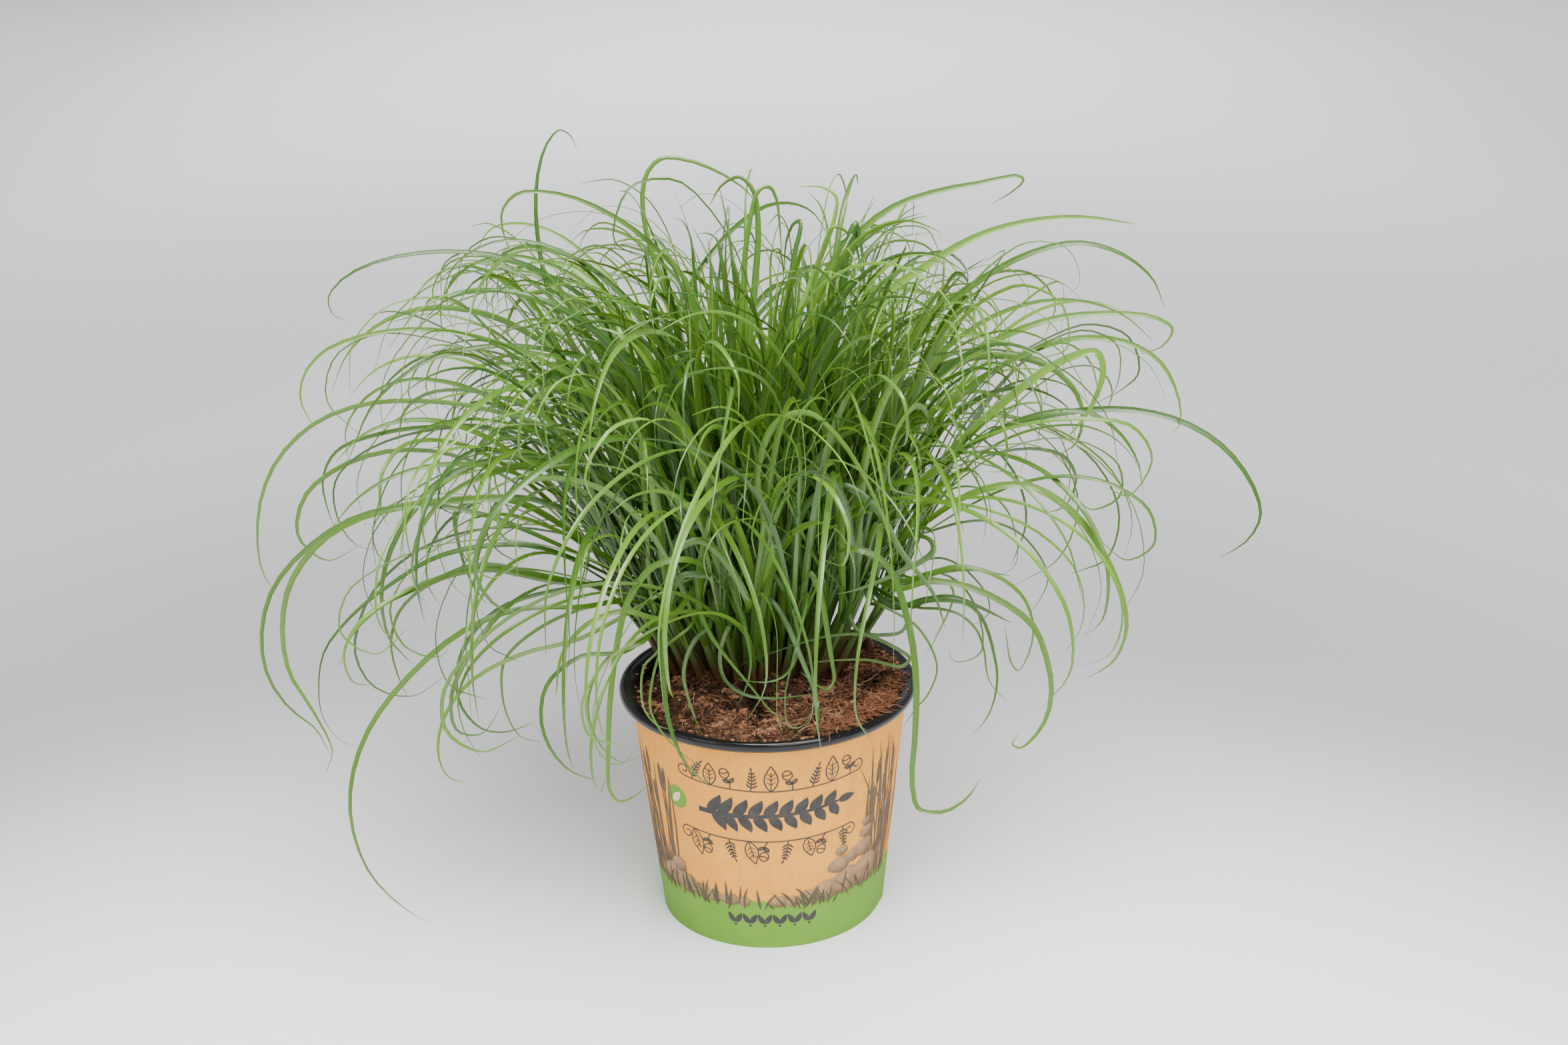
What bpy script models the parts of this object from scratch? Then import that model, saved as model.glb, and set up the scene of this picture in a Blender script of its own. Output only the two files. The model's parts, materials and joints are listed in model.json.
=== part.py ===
"""Potted cat grass: a black nursery pot in a kraft carton sleeve, with potting soil and a
dense clump of leafy shoots. Metres, +Z up, the front of the pot faces -Y."""
import bpy
import bmesh
import math
import random
import numpy as np
from mathutils import Matrix, Vector

# Pot
RIM_RADIUS = 0.0600
RIM_HEIGHT = 0.0981
LIP_DEPTH = 0.0040
LEDGE_RADIUS = 0.0530
LEDGE_HEIGHT = 0.0957
POT_WALL = 0.0010
POT_FLOOR = 0.0014
DRAIN_HOLES = 6
DRAIN_RADIUS = 0.0045
DRAIN_RING = 0.0300

# Sleeve
SLEEVE_BASE_RADIUS = 0.0453
SLEEVE_TOP_RADIUS = 0.0551
SLEEVE_HEIGHT = 0.0926
SLEEVE_THICKNESS = 0.0005
CREASE_RISE = 0.0009

# Soil
SOIL_LEVEL = 0.0938
SOIL_TILT = 0.0024
SOIL_LUMP = 0.0011

# Shared
GAP = 0.0003
SEGMENTS = 40

# Shoots
SHOOTS = 24
BLADES_PER_SHOOT = 4
LEAVES = 95
CLUMP_X = -0.0040
CLUMP_Y = 0.0220
CLUMP_RADIUS_X = 0.0345
CLUMP_RADIUS_Y = 0.0200
SHEATH_RADIUS = 0.0027
SHEATH_TOP_RADIUS = 0.0023
RINGS_PER_BLADE = 11
CROWN_HALF_WIDTH = 0.158
CROWN_HALF_DEPTH = 0.160
CROWN_HALF_HEIGHT = 0.140
CROWN_CENTRE = 0.178
CROWN_Y = 0.0060
TIP_WIDTH = 0.0005

# View in which the outline leaves are laid out, in picture units of a 2000 x 1333 field
FIELD_WIDTH = 2000.0
FIELD_HEIGHT = 1333.3
FIELD_FOCAL = 2806.1
VIEW_ELEVATION = math.radians(20.81)
VIEW_ROLL = math.radians(-1.23)
VIEW_DISTANCE = 0.8653
VIEW_TARGET = Vector((0.0080, 0.0, 0.1650))

# Outline leaves: width in millimetres, depth of the first and last point in millimetres
# (negative is towards the viewer), then points across and down the view
OUTLINE_LEAVES = [
    (2.6, 25, 45, [(745, 470), (702, 380), (688, 320), (683, 262), (687, 215), (698, 182),
                   (713, 166), (726, 171), (736, 190)]),
    (2.8, 35, 50, [(872, 450), (847, 369), (826, 305), (819, 250), (826, 219), (844, 202),
                   (877, 204), (918, 220), (952, 243), (968, 264)]),
    (2.6, 15, 5, [(880, 370), (847, 327), (803, 289), (747, 258), (698, 245), (660, 247),
                  (641, 268), (642, 298), (658, 334)]),
    (2.2, 55, 70, [(790, 372), (747, 326), (716, 302), (682, 288), (651, 285), (627, 292),
                   (612, 312), (608, 330)]),
    (2.6, 20, -10, [(770, 408), (700, 352), (640, 328), (580, 321), (520, 325), (470, 338),
                    (436, 357), (419, 380), (424, 400), (441, 409)]),
    (2.4, -5, -30, [(760, 505), (680, 455), (600, 428), (530, 420), (460, 429), (412, 449),
                    (388, 478), (383, 508), (393, 533), (406, 549)]),
    (2.4, -20, -20, [(720, 560), (620, 522), (540, 512), (465, 516), (402, 540), (356, 584),
                     (334, 632), (328, 685), (334, 728), (350, 756)]),
    (2.6, -25, -45, [(700, 690), (610, 655), (530, 645), (450, 662), (388, 703), (348, 752),
                     (334, 806), (341, 860), (368, 902), (403, 930), (421, 962)]),
    (3.0, -35, -78, [(740, 775), (660, 778), (590, 806), (525, 860), (474, 925), (450, 990),
                     (449, 1050), (470, 1110), (505, 1150), (545, 1177)]),
    (2.8, -50, -74, [(880, 715), (835, 722), (802, 765), (786, 830), (778, 900), (776, 960),
                     (778, 1008), (790, 1022), (809, 1016), (827, 1000)]),
    (3.0, -45, -72, [(1085, 700), (1130, 720), (1156, 785), (1168, 860), (1167, 935),
                     (1163, 998), (1172, 1032), (1203, 1036), (1233, 1019), (1251, 993)]),
    (3.0, -15, -35, [(1180, 668), (1245, 628), (1310, 620), (1364, 650), (1406, 704),
                     (1432, 765), (1436, 805), (1420, 843), (1385, 866)]),
    (2.8, -35, -50, [(1150, 745), (1210, 722), (1268, 735), (1312, 778), (1338, 840),
                     (1342, 890), (1326, 935), (1303, 953), (1291, 940)]),
    (2.6, 15, -20, [(1215, 585), (1300, 540), (1380, 524), (1450, 524), (1514, 541),
                    (1565, 575), (1600, 625), (1607, 660), (1590, 690), (1555, 712)]),
    (2.8, 30, 45, [(1040, 380), (1085, 308), (1135, 266), (1195, 244), (1252, 233),
                   (1297, 224), (1305, 229), (1298, 239), (1262, 262)]),
    (3.2, 35, 45, [(1110, 400), (1180, 340), (1250, 300), (1320, 281), (1385, 277),
                   (1450, 286)]),
    (2.8, 40, 35, [(1170, 430), (1240, 365), (1310, 325), (1375, 310), (1430, 324),
                   (1470, 356), (1485, 393)]),
    (2.8, 10, 5, [(1180, 500), (1260, 440), (1340, 408), (1420, 400), (1476, 406),
                  (1495, 420), (1483, 441), (1452, 452)]),
    (2.4, 20, -5, [(1200, 530), (1290, 460), (1370, 432), (1435, 436), (1480, 462),
                   (1503, 507), (1505, 540), (1496, 553)]),
    (3.4, -5, -20, [(1160, 640), (1230, 560), (1300, 497), (1355, 460), (1398, 449),
                    (1407, 472), (1390, 522), (1356, 565)]),
    (2.4, 0, -15, [(1180, 610), (1260, 555), (1335, 527), (1392, 528), (1430, 555),
                   (1452, 592), (1456, 618)]),
    (3.0, 15, 30, [(955, 470), (962, 370), (967, 290), (960, 242), (943, 226), (921, 236),
                   (905, 262)]),
    (2.6, 25, 45, [(1010, 440), (1038, 350), (1062, 288), (1067, 252), (1050, 239),
                   (1018, 238)]),
    (3.6, -38, -62, [(955, 770), (925, 715), (893, 690), (866, 702), (851, 750), (847, 815),
                     (850, 868)]),
    (3.4, -40, -66, [(905, 735), (870, 735), (849, 790), (846, 860), (854, 925), (875, 975),
                     (905, 1003)]),
    (2.6, -35, -55, [(850, 790), (792, 780), (744, 800), (716, 838), (709, 888)]),
    (2.2, -30, -60, [(740, 815), (665, 835), (600, 870), (567, 915), (559, 960), (571, 990),
                     (597, 1000)]),
    (2.2, -40, -66, [(800, 830), (740, 838), (699, 872), (690, 915), (702, 955), (728, 984),
                     (762, 996)]),
    (3.2, -30, -68, [(1010, 700), (1032, 640), (1075, 620), (1118, 650), (1150, 705),
                     (1192, 760), (1205, 800)]),
    (3.4, -40, -75, [(985, 700), (965, 610), (990, 540), (1030, 527), (1070, 560),
                     (1105, 615), (1130, 672), (1140, 715)]),
]


def new_material(name, colour, roughness):
    material = bpy.data.materials.new(name)
    material.use_nodes = True
    shader = material.node_tree.nodes["Principled BSDF"]
    shader.inputs["Base Color"].default_value = (colour[0], colour[1], colour[2], 1.0)
    shader.inputs["Roughness"].default_value = roughness
    material.diffuse_color = (colour[0], colour[1], colour[2], 1.0)
    return material


def finish_object(name, bm, material, smooth_angle):
    bmesh.ops.recalc_face_normals(bm, faces=bm.faces)
    mesh = bpy.data.meshes.new(name)
    bm.to_mesh(mesh)
    bm.free()
    mesh.materials.append(material)
    made = bpy.data.objects.new(name, mesh)
    bpy.context.scene.collection.objects.link(made)
    bpy.ops.object.select_all(action="DESELECT")
    made.select_set(True)
    bpy.context.view_layer.objects.active = made
    if smooth_angle:
        bpy.ops.object.shade_smooth_by_angle(angle=smooth_angle)
    return made


def spin_profile(profile, closed):
    bm = bmesh.new()
    verts = [bm.verts.new((radius, 0.0, height)) for radius, height in profile]
    edges = [bm.edges.new((verts[i], verts[i + 1])) for i in range(len(verts) - 1)]
    if closed:
        edges.append(bm.edges.new((verts[-1], verts[0])))
    bmesh.ops.spin(bm, geom=verts + edges, cent=(0, 0, 0), axis=(0, 0, 1),
                   angle=math.tau, steps=SEGMENTS, use_merge=True)
    bmesh.ops.remove_doubles(bm, verts=bm.verts, dist=0.00002)
    return bm


def sleeve_radius(height):
    share = height / SLEEVE_HEIGHT
    return SLEEVE_BASE_RADIUS + (SLEEVE_TOP_RADIUS - SLEEVE_BASE_RADIUS) * share


def pot_radius(height):
    return sleeve_radius(height) - SLEEVE_THICKNESS - GAP


# Start from an empty scene
for old in list(bpy.data.objects):
    bpy.data.objects.remove(old, do_unlink=True)

black_plastic = new_material("black_plastic", (0.012, 0.012, 0.013), 0.38)
kraft_carton = new_material("kraft_carton", (0.62, 0.36, 0.17), 0.75)
coir_mix = new_material("coir_mix", (0.13, 0.055, 0.025), 0.95)
leaf_green = new_material("leaf_green", (0.10, 0.26, 0.035), 0.45)

# Pot: a turned vessel with a sloping ledge inside a rolled lip
pot_profile = [
    (0.0, 0.0),
    (pot_radius(0.0) - 0.0012, 0.0),
    (pot_radius(0.0012), 0.0012),
    (pot_radius(0.0500), 0.0500),
    (pot_radius(SLEEVE_HEIGHT), SLEEVE_HEIGHT),
    (pot_radius(SLEEVE_HEIGHT) + 0.0004, SLEEVE_HEIGHT + 0.0008),
    (RIM_RADIUS - 0.0014, RIM_HEIGHT - LIP_DEPTH - 0.0002),
    (RIM_RADIUS - 0.0003, RIM_HEIGHT - LIP_DEPTH + 0.0006),
    (RIM_RADIUS, RIM_HEIGHT - 0.0012),
    (RIM_RADIUS - 0.0006, RIM_HEIGHT - 0.0002),
    (RIM_RADIUS - 0.0018, RIM_HEIGHT),
    (RIM_RADIUS - 0.0026, RIM_HEIGHT - 0.0003),
    (LEDGE_RADIUS, LEDGE_HEIGHT),
    (LEDGE_RADIUS - 0.0006, LEDGE_HEIGHT - 0.0016),
    (pot_radius(0.0500) - POT_WALL, 0.0500),
    (pot_radius(POT_FLOOR) - POT_WALL - 0.0006, POT_FLOOR),
    (0.0, POT_FLOOR),
]
pot = finish_object("pot", spin_profile(pot_profile, False), black_plastic, math.radians(35))

# Drain holes through the floor of the pot
for number in range(DRAIN_HOLES):
    turn = math.tau * (number + 0.5) / DRAIN_HOLES
    spot = (DRAIN_RING * math.cos(turn), DRAIN_RING * math.sin(turn), 0.0)
    bpy.ops.mesh.primitive_cylinder_add(vertices=8, radius=DRAIN_RADIUS, depth=0.01,
                                        location=spot)
    cutter = bpy.context.object
    cutter.name = "drain_cutter_%d" % number
    cutter.hide_render = True
    cutter.display_type = "WIRE"
    cut = pot.modifiers.new("drain_%d" % number, "BOOLEAN")
    cut.operation = "DIFFERENCE"
    cut.solver = "EXACT"
    cut.object = cutter
    bpy.context.view_layer.objects.active = pot
    bpy.ops.object.modifier_apply(modifier=cut.name)
    bpy.data.objects.remove(cutter, do_unlink=True)

# Sleeve: a conical carton tube with a fold crease on two opposite sides
sleeve_profile = [
    (sleeve_radius(0.0), 0.0),
    (sleeve_radius(SLEEVE_HEIGHT * 0.5), SLEEVE_HEIGHT * 0.5),
    (sleeve_radius(SLEEVE_HEIGHT), SLEEVE_HEIGHT),
    (sleeve_radius(SLEEVE_HEIGHT) - SLEEVE_THICKNESS, SLEEVE_HEIGHT),
    (sleeve_radius(SLEEVE_HEIGHT * 0.5) - SLEEVE_THICKNESS, SLEEVE_HEIGHT * 0.5),
    (sleeve_radius(0.0) - SLEEVE_THICKNESS, 0.0),
]
sleeve_mesh = spin_profile(sleeve_profile, True)
for vert in sleeve_mesh.verts:
    bearing = math.degrees(math.atan2(vert.co.y, vert.co.x))
    if abs(bearing + 9.0) < 1.0 or abs(bearing - 171.0) < 1.0:
        stretch = 1.0 + CREASE_RISE / math.hypot(vert.co.x, vert.co.y)
        vert.co.x *= stretch
        vert.co.y *= stretch
sleeve = finish_object("sleeve", sleeve_mesh, kraft_carton, math.radians(20))


# Soil: fills the pot, lumpy on top, higher at the front and right
def soil_top(x, y):
    slope = SOIL_TILT * (0.75 * x - 0.65 * y) / 0.05
    lumps = math.sin(x * 310.0 + 1.3) * math.cos(y * 270.0 - 0.4)
    lumps += 0.6 * math.sin(x * 620.0 - y * 540.0 + 2.1)
    return SOIL_LEVEL + slope + SOIL_LUMP * 0.6 * lumps


def soil_radius(height):
    return pot_radius(height) - POT_WALL - GAP - 0.0006


soil_profile = [
    (0.0, POT_FLOOR + GAP),
    (soil_radius(0.003) - 0.0012, POT_FLOOR + GAP),
    (soil_radius(0.045) - 0.0002, 0.045),
    (soil_radius(0.0850) - 0.0005, 0.0850),
    (LEDGE_RADIUS - 0.0014, SOIL_LEVEL),
    (0.0400, SOIL_LEVEL),
    (0.0290, SOIL_LEVEL),
    (0.0170, SOIL_LEVEL),
    (0.0060, SOIL_LEVEL),
    (0.0, SOIL_LEVEL),
]
soil_mesh = spin_profile(soil_profile, False)
for vert in soil_mesh.verts:
    if vert.co.z > SOIL_LEVEL - 0.0001:
        vert.co.z = soil_top(vert.co.x, vert.co.y)
bmesh.ops.triangulate(soil_mesh, faces=[f for f in soil_mesh.faces
                                        if f.calc_center_median().z > 0.086])
soil = finish_object("soil", soil_mesh, coir_mix, math.radians(60))


# Shoots
def picture_point(across, down, depth):
    """Point of the ray through a picture position at the given depth (world Y)."""
    forward = Vector((0.0, math.cos(VIEW_ELEVATION), -math.sin(VIEW_ELEVATION)))
    level = Vector((1.0, 0.0, 0.0))
    upright = Vector((0.0, math.sin(VIEW_ELEVATION), math.cos(VIEW_ELEVATION)))
    right = level * math.cos(VIEW_ROLL) + upright * math.sin(VIEW_ROLL)
    up = upright * math.cos(VIEW_ROLL) - level * math.sin(VIEW_ROLL)
    eye = VIEW_TARGET - forward * VIEW_DISTANCE
    ray = forward + right * ((across - FIELD_WIDTH / 2) / FIELD_FOCAL)
    ray += up * ((FIELD_HEIGHT / 2 - down) / FIELD_FOCAL)
    return np.array(eye + ray * ((depth - eye.y) / ray.y))


def smooth_path(points, count):
    """Points of a smooth curve through the given points, closer together in the bends."""
    points = [np.array(p, float) for p in points]
    padded = [2 * points[0] - points[1]] + points + [2 * points[-1] - points[-2]]
    dense = [points[0]]
    for i in range(1, len(padded) - 2):
        a, b, c, d = padded[i - 1:i + 3]
        knots = [0.0]
        for first, second in ((a, b), (b, c), (c, d)):
            knots.append(knots[-1] + max(np.linalg.norm(second - first), 1e-6) ** 0.5)
        for step in range(1, 17):
            t = knots[1] + (knots[2] - knots[1]) * step / 16
            ab = ((knots[1] - t) * a + (t - knots[0]) * b) / (knots[1] - knots[0])
            bc = ((knots[2] - t) * b + (t - knots[1]) * c) / (knots[2] - knots[1])
            cd = ((knots[3] - t) * c + (t - knots[2]) * d) / (knots[3] - knots[2])
            abc = ((knots[2] - t) * ab + (t - knots[0]) * bc) / (knots[2] - knots[0])
            bcd = ((knots[3] - t) * bc + (t - knots[1]) * cd) / (knots[3] - knots[1])
            dense.append(((knots[2] - t) * abc + (t - knots[1]) * bcd) / (knots[2] - knots[1]))
    dense = np.array(dense)
    steps = np.diff(dense, axis=0)
    lengths = np.linalg.norm(steps, axis=1)
    heading = steps / lengths[:, None]
    turns = np.arccos(np.clip((heading[1:] * heading[:-1]).sum(1), -1, 1))
    weight = lengths.copy()
    weight[1:] += 0.020 * turns
    run = np.concatenate([[0], np.cumsum(weight)])
    wanted = np.linspace(0, run[-1], count + 1)
    return np.stack([np.interp(wanted, run, dense[:, k]) for k in range(3)], 1)


def arching_path(start, lean, bearing, length, rise, droop, swirl, curl):
    """A leaf that leaves its sheath steeply, arches over and curls at the tip."""
    share = (np.arange(40) + 0.5) / 40
    angle = rise - droop * share ** 1.7 - curl * np.maximum(0.0, share - 0.72) ** 1.3
    facing = bearing + swirl * share ** 2
    steps = np.stack([np.cos(angle) * np.cos(facing), np.cos(angle) * np.sin(facing),
                      np.sin(angle)], 1)
    freed = np.clip(share / 0.15, 0, 1)[:, None]
    steps = steps * freed + lean * (1 - freed)
    steps /= np.linalg.norm(steps, axis=1)[:, None]
    return np.concatenate([[start], start + np.cumsum(steps, axis=0) * length / 40])


def blade_width(share, widest):
    """Width along the leaf: narrow at the sheath, widest low down, hair-thin at the tip."""
    if share < 0.18:
        return 0.0017 + (widest - 0.0017) * share / 0.18
    return TIP_WIDTH + (widest - TIP_WIDTH) * (1 - ((share - 0.18) / 0.82) ** 1.5)


def segment_gaps(first, second):
    """Smallest distances between every segment of one list and every segment of another."""
    p = first[0][:, None, :]
    q = second[0][None, :, :]
    u = first[1][:, None, :] - p
    v = second[1][None, :, :] - q
    w = p - q
    a = (u * u).sum(-1)
    b = (u * v).sum(-1)
    c = (v * v).sum(-1)
    d = (u * w).sum(-1)
    e = (v * w).sum(-1)
    bottom = np.maximum(a * c - b * b, 1e-18)
    s = np.clip((b * e - c * d) / bottom, 0, 1)
    t = np.clip((b * s + e) / c, 0, 1)
    s = np.clip((b * t - d) / a, 0, 1)
    t = np.clip((b * s + e) / c, 0, 1)
    apart = w + s[..., None] * u - t[..., None] * v
    return np.linalg.norm(apart, axis=-1)


def clear_of_pot(path):
    """True where the leaf stays over the floor and clear of the pot, sleeve and soil."""
    fine = np.concatenate([path[:-1] + (path[1:] - path[:-1]) * k / 6 for k in range(6)])
    fine = np.concatenate([fine, path[-1:]])
    radius = np.hypot(fine[:, 0], fine[:, 1])
    height = fine[:, 2]
    if (height < 0.004).any():
        return False
    return not ((radius < RIM_RADIUS + 0.0028) & (height < RIM_HEIGHT + 0.003)).any()


def inside_crown(path):
    """True where the leaf stays inside the oval outline of the crown from the front and side."""
    aside = (path[:, 0] + 0.006) / CROWN_HALF_WIDTH
    deep = (path[:, 1] - CROWN_Y) / CROWN_HALF_DEPTH
    over = (path[:, 2] - CROWN_CENTRE) / CROWN_HALF_HEIGHT
    return (aside * aside + deep * deep + over * over < 1.0).all()


class Placed:
    """Segments that later leaves have to stay clear of."""
    def __init__(self):
        self.start = np.zeros((0, 3))
        self.end = np.zeros((0, 3))
        self.half = np.zeros(0)
        self.owner = np.zeros(0, int)

    def add(self, path, half, owner):
        self.start = np.concatenate([self.start, path[:-1]])
        self.end = np.concatenate([self.end, path[1:]])
        self.half = np.concatenate([self.half, np.maximum(half[:-1], half[1:])])
        self.owner = np.concatenate([self.owner, np.full(len(path) - 1, owner)])

    def clear(self, path, half, owner):
        if not len(self.start):
            return True
        gaps = segment_gaps((path[:-1], path[1:]), (self.start, self.end))
        reach = 0.85 * (np.maximum(half[:-1], half[1:])[:, None] + self.half[None, :])
        spare = gaps - reach
        same = self.owner[None, :] == owner
        need = np.where(same, 0.00005, 0.0003)
        early = (np.arange(len(path) - 1) < 2)[:, None]
        return not ((spare < need) & ~(same & early)).any()


random_source = random.Random(41)
placed = Placed()

# Lay out the shoot bases over the clump, the outer ones leaning outwards
shoot_list = []
for number in range(SHOOTS):
    ring = math.sqrt((number + 0.5) / SHOOTS)
    turn = number * 2.39996 + 0.6
    x = CLUMP_X + CLUMP_RADIUS_X * ring * math.cos(turn)
    y = CLUMP_Y + CLUMP_RADIUS_Y * ring * math.sin(turn)
    lean_angle = math.radians(3.0 + 22.0 * ring)
    lean = np.array([math.sin(lean_angle) * math.cos(turn),
                     math.sin(lean_angle) * math.sin(turn), math.cos(lean_angle)])
    foot = max(soil_top(x + dx, y + dy) for dx in (-0.004, 0, 0.004) for dy in (-0.004, 0, 0.004))
    base = np.array([x, y, foot + GAP + 0.0012])
    height = random_source.uniform(0.026, 0.044)
    shoot_list.append({"base": base, "lean": lean, "turn": turn, "ring": ring,
                       "top": base + lean * height, "leaves": []})
for number, shoot in enumerate(shoot_list):
    trunk = np.array([shoot["base"], shoot["base"] * 0.5 + shoot["top"] * 0.5, shoot["top"]])
    placed.add(trunk, np.full(3, SHEATH_RADIUS), number)


def leaf_start(shoot, bearing):
    """Where a leaf leaves the sheath, on the side that it will fall to."""
    side = np.array([math.cos(bearing), math.sin(bearing), 0.0])
    side -= shoot["lean"] * (side @ shoot["lean"])
    side /= np.linalg.norm(side)
    return shoot["top"] + side * 0.0016 + shoot["lean"] * 0.0004, side


def halves(path, widest):
    run = np.concatenate([[0], np.cumsum(np.linalg.norm(np.diff(path, axis=0), axis=1))])
    return np.array([blade_width(s, widest) for s in run / run[-1]]) / 2


# Outline leaves first, each on the nearest shoot that has room
for widest, near, far, marks in OUTLINE_LEAVES:
    widest = widest / 1000
    flat = np.array(marks, float)
    run = np.concatenate([[0], np.cumsum(np.linalg.norm(np.diff(flat, axis=0), axis=1))])
    shares = run / run[-1]
    found = None
    for shift in (0, 2, -2, 4, -4, 6, -6, 9, -9, 12, -12, 16, -16, 20, -20):
        points = [picture_point(m[0], m[1], (near + (far - near) * s + shift) / 1000)
                  for m, s in zip(marks, shares)]
        aim = points[1]
        away = aim[:2] - np.array([CLUMP_X, CLUMP_Y])
        reach = np.linalg.norm(away)
        foot = np.array([CLUMP_X, CLUMP_Y]) + away / reach * min(0.026, 0.40 * reach)
        order = sorted(range(SHOOTS), key=lambda k: np.linalg.norm(
            shoot_list[k]["base"][:2] - foot))
        for n in order[:9]:
            shoot = shoot_list[n]
            if len(shoot["leaves"]) >= BLADES_PER_SHOOT:
                continue
            bearing = math.atan2(aim[1] - shoot["top"][1], aim[0] - shoot["top"][0])
            start, side = leaf_start(shoot, bearing)
            lift = start + shoot["lean"] * 0.012 + side * 0.0012
            path = smooth_path([start, lift] + points, RINGS_PER_BLADE)
            half = halves(path, widest)
            if clear_of_pot(path[1:]) and placed.clear(path, half, n):
                found = (n, bearing, path, half)
                break
        if found:
            break
    if not found:
        continue
    n, bearing, path, half = found
    shoot_list[n]["leaves"].append((bearing, path, half))
    placed.add(path, half, n)

# Then the inner leaves, drawn again until each is clear of the others and inside the crown
def inner_leaf(n, shoot, first, last):
    for draw in range(first, last):
        dice = random.Random(10000 * n + draw)
        bearing = shoot["turn"] + dice.gauss(0.0, 1.4 - 0.7 * shoot["ring"])
        if any(abs((bearing - other[0] + math.pi) % math.tau - math.pi) < 0.4
               for other in shoot["leaves"]):
            continue
        steep = dice.random() ** (0.4 + 1.0 * shoot["ring"])
        length = dice.uniform(0.20, 0.29) + 0.05 * steep
        rise = math.radians(52 + 35 * steep)
        droop = math.radians(dice.uniform(125, 195) - 60 * steep)
        swirl = dice.uniform(-0.9, 0.9)
        curl = dice.uniform(0.5, 4.0)
        widest = dice.uniform(0.0020, 0.0034)
        start, side = leaf_start(shoot, bearing)
        dense = arching_path(start, shoot["lean"], bearing, length, rise, droop, swirl, curl)
        if not inside_crown(dense) or not clear_of_pot(dense[1:]):
            continue
        path = smooth_path(dense[::4], RINGS_PER_BLADE)
        half = halves(path, widest)
        if clear_of_pot(path[1:]) and placed.clear(path, half, n):
            return bearing, path, half
    return None


for room in range(1, 7):
    for n, shoot in enumerate(shoot_list):
        if len(shoot["leaves"]) >= room or sum(len(s["leaves"]) for s in shoot_list) >= LEAVES:
            continue
        found = inner_leaf(n, shoot, 1500 * (room - 1), 1500 * room)
        if found:
            shoot["leaves"].append(found)
            placed.add(found[1], found[2], n)


def grow_leaf(bm, face, path, half):
    """Extrude a triangular leaf section ring by ring along the path."""
    heading = path[1] - path[0]
    heading /= np.linalg.norm(heading)
    bearing = math.atan2(path[4][1] - path[0][1], path[4][0] - path[0][0])
    side = np.array([-math.sin(bearing), math.cos(bearing), 0.0])
    order = None
    for i in range(1, len(path)):
        if i < len(path) - 1:
            ahead = path[i + 1] - path[i - 1]
        else:
            ahead = path[i] - path[i - 1]
        ahead = ahead / np.linalg.norm(ahead)
        side = side - ahead * (side @ ahead)
        side /= np.linalg.norm(side)
        upper = np.cross(side, ahead)
        corners = [path[i] - side * half[i] + upper * half[i] * 0.25,
                   path[i] + side * half[i] + upper * half[i] * 0.25,
                   path[i] - upper * half[i] * 0.45]
        turned = np.cross(corners[1] - corners[0], corners[2] - corners[0])
        if turned @ ahead < 0:
            corners = [corners[1], corners[0], corners[2]]
        face = bmesh.ops.extrude_discrete_faces(bm, faces=[face])["faces"][0]
        verts = list(face.verts)
        if order is None:
            centre = np.mean([np.array(v.co) for v in verts], axis=0)
            middle = np.mean(corners, axis=0)
            best = None
            for shift in range(3):
                cost = sum(np.linalg.norm((np.array(verts[k].co) - centre)
                                          - (corners[(k + shift) % 3] - middle))
                           for k in range(3))
                if best is None or cost < best:
                    best = cost
                    order = shift
        for k in range(3):
            verts[k].co = Vector(corners[(k + order) % 3])


for number, shoot in enumerate(shoot_list):
    bm = bmesh.new()
    lean = Vector(shoot["lean"])
    turn_to = Vector((0, 0, 1)).rotation_difference(lean).to_matrix().to_4x4()
    made = bmesh.ops.create_circle(bm, segments=6, radius=SHEATH_RADIUS * 0.9, cap_ends=True)
    bmesh.ops.transform(bm, matrix=Matrix.Translation(Vector(shoot["base"])) @ turn_to,
                        verts=made["verts"])
    foot_face = bm.faces[:][0]
    lifted = bmesh.ops.extrude_face_region(bm, geom=[foot_face])
    top_face = [g for g in lifted["geom"] if isinstance(g, bmesh.types.BMFace)][0]
    bmesh.ops.translate(bm, verts=top_face.verts,
                        vec=Vector(shoot["top"]) - Vector(shoot["base"]))
    middle = Vector(shoot["top"])
    for vert in top_face.verts:
        vert.co = middle + (vert.co - middle) * (SHEATH_TOP_RADIUS / (SHEATH_RADIUS * 0.9))
    fan = bmesh.ops.poke(bm, faces=[top_face])["faces"]
    for vert in fan[0].verts:
        if (vert.co - middle).length < 0.0003:
            vert.co = middle + lean * 0.0004
    free = list(fan)
    for bearing, path, half in shoot["leaves"]:
        side = Vector((math.cos(bearing), math.sin(bearing), 0.0))
        face = max(free, key=lambda f: (f.calc_center_median() - middle).normalized().dot(side))
        free.remove(face)
        bmesh.ops.inset_individual(bm, faces=[face], thickness=0.00018, depth=0.0)
        grow_leaf(bm, face, path, half)
    finish_object("shoot_%02d" % (number + 1), bm, leaf_green, math.radians(50))
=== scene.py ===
import json
import random
from math import atan2, cos, degrees, exp, hypot, pi, radians, sin, sqrt, tau

import bpy
import numpy as np
from mathutils import Matrix, Vector, noise
from mathutils.bvhtree import BVHTree

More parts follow.
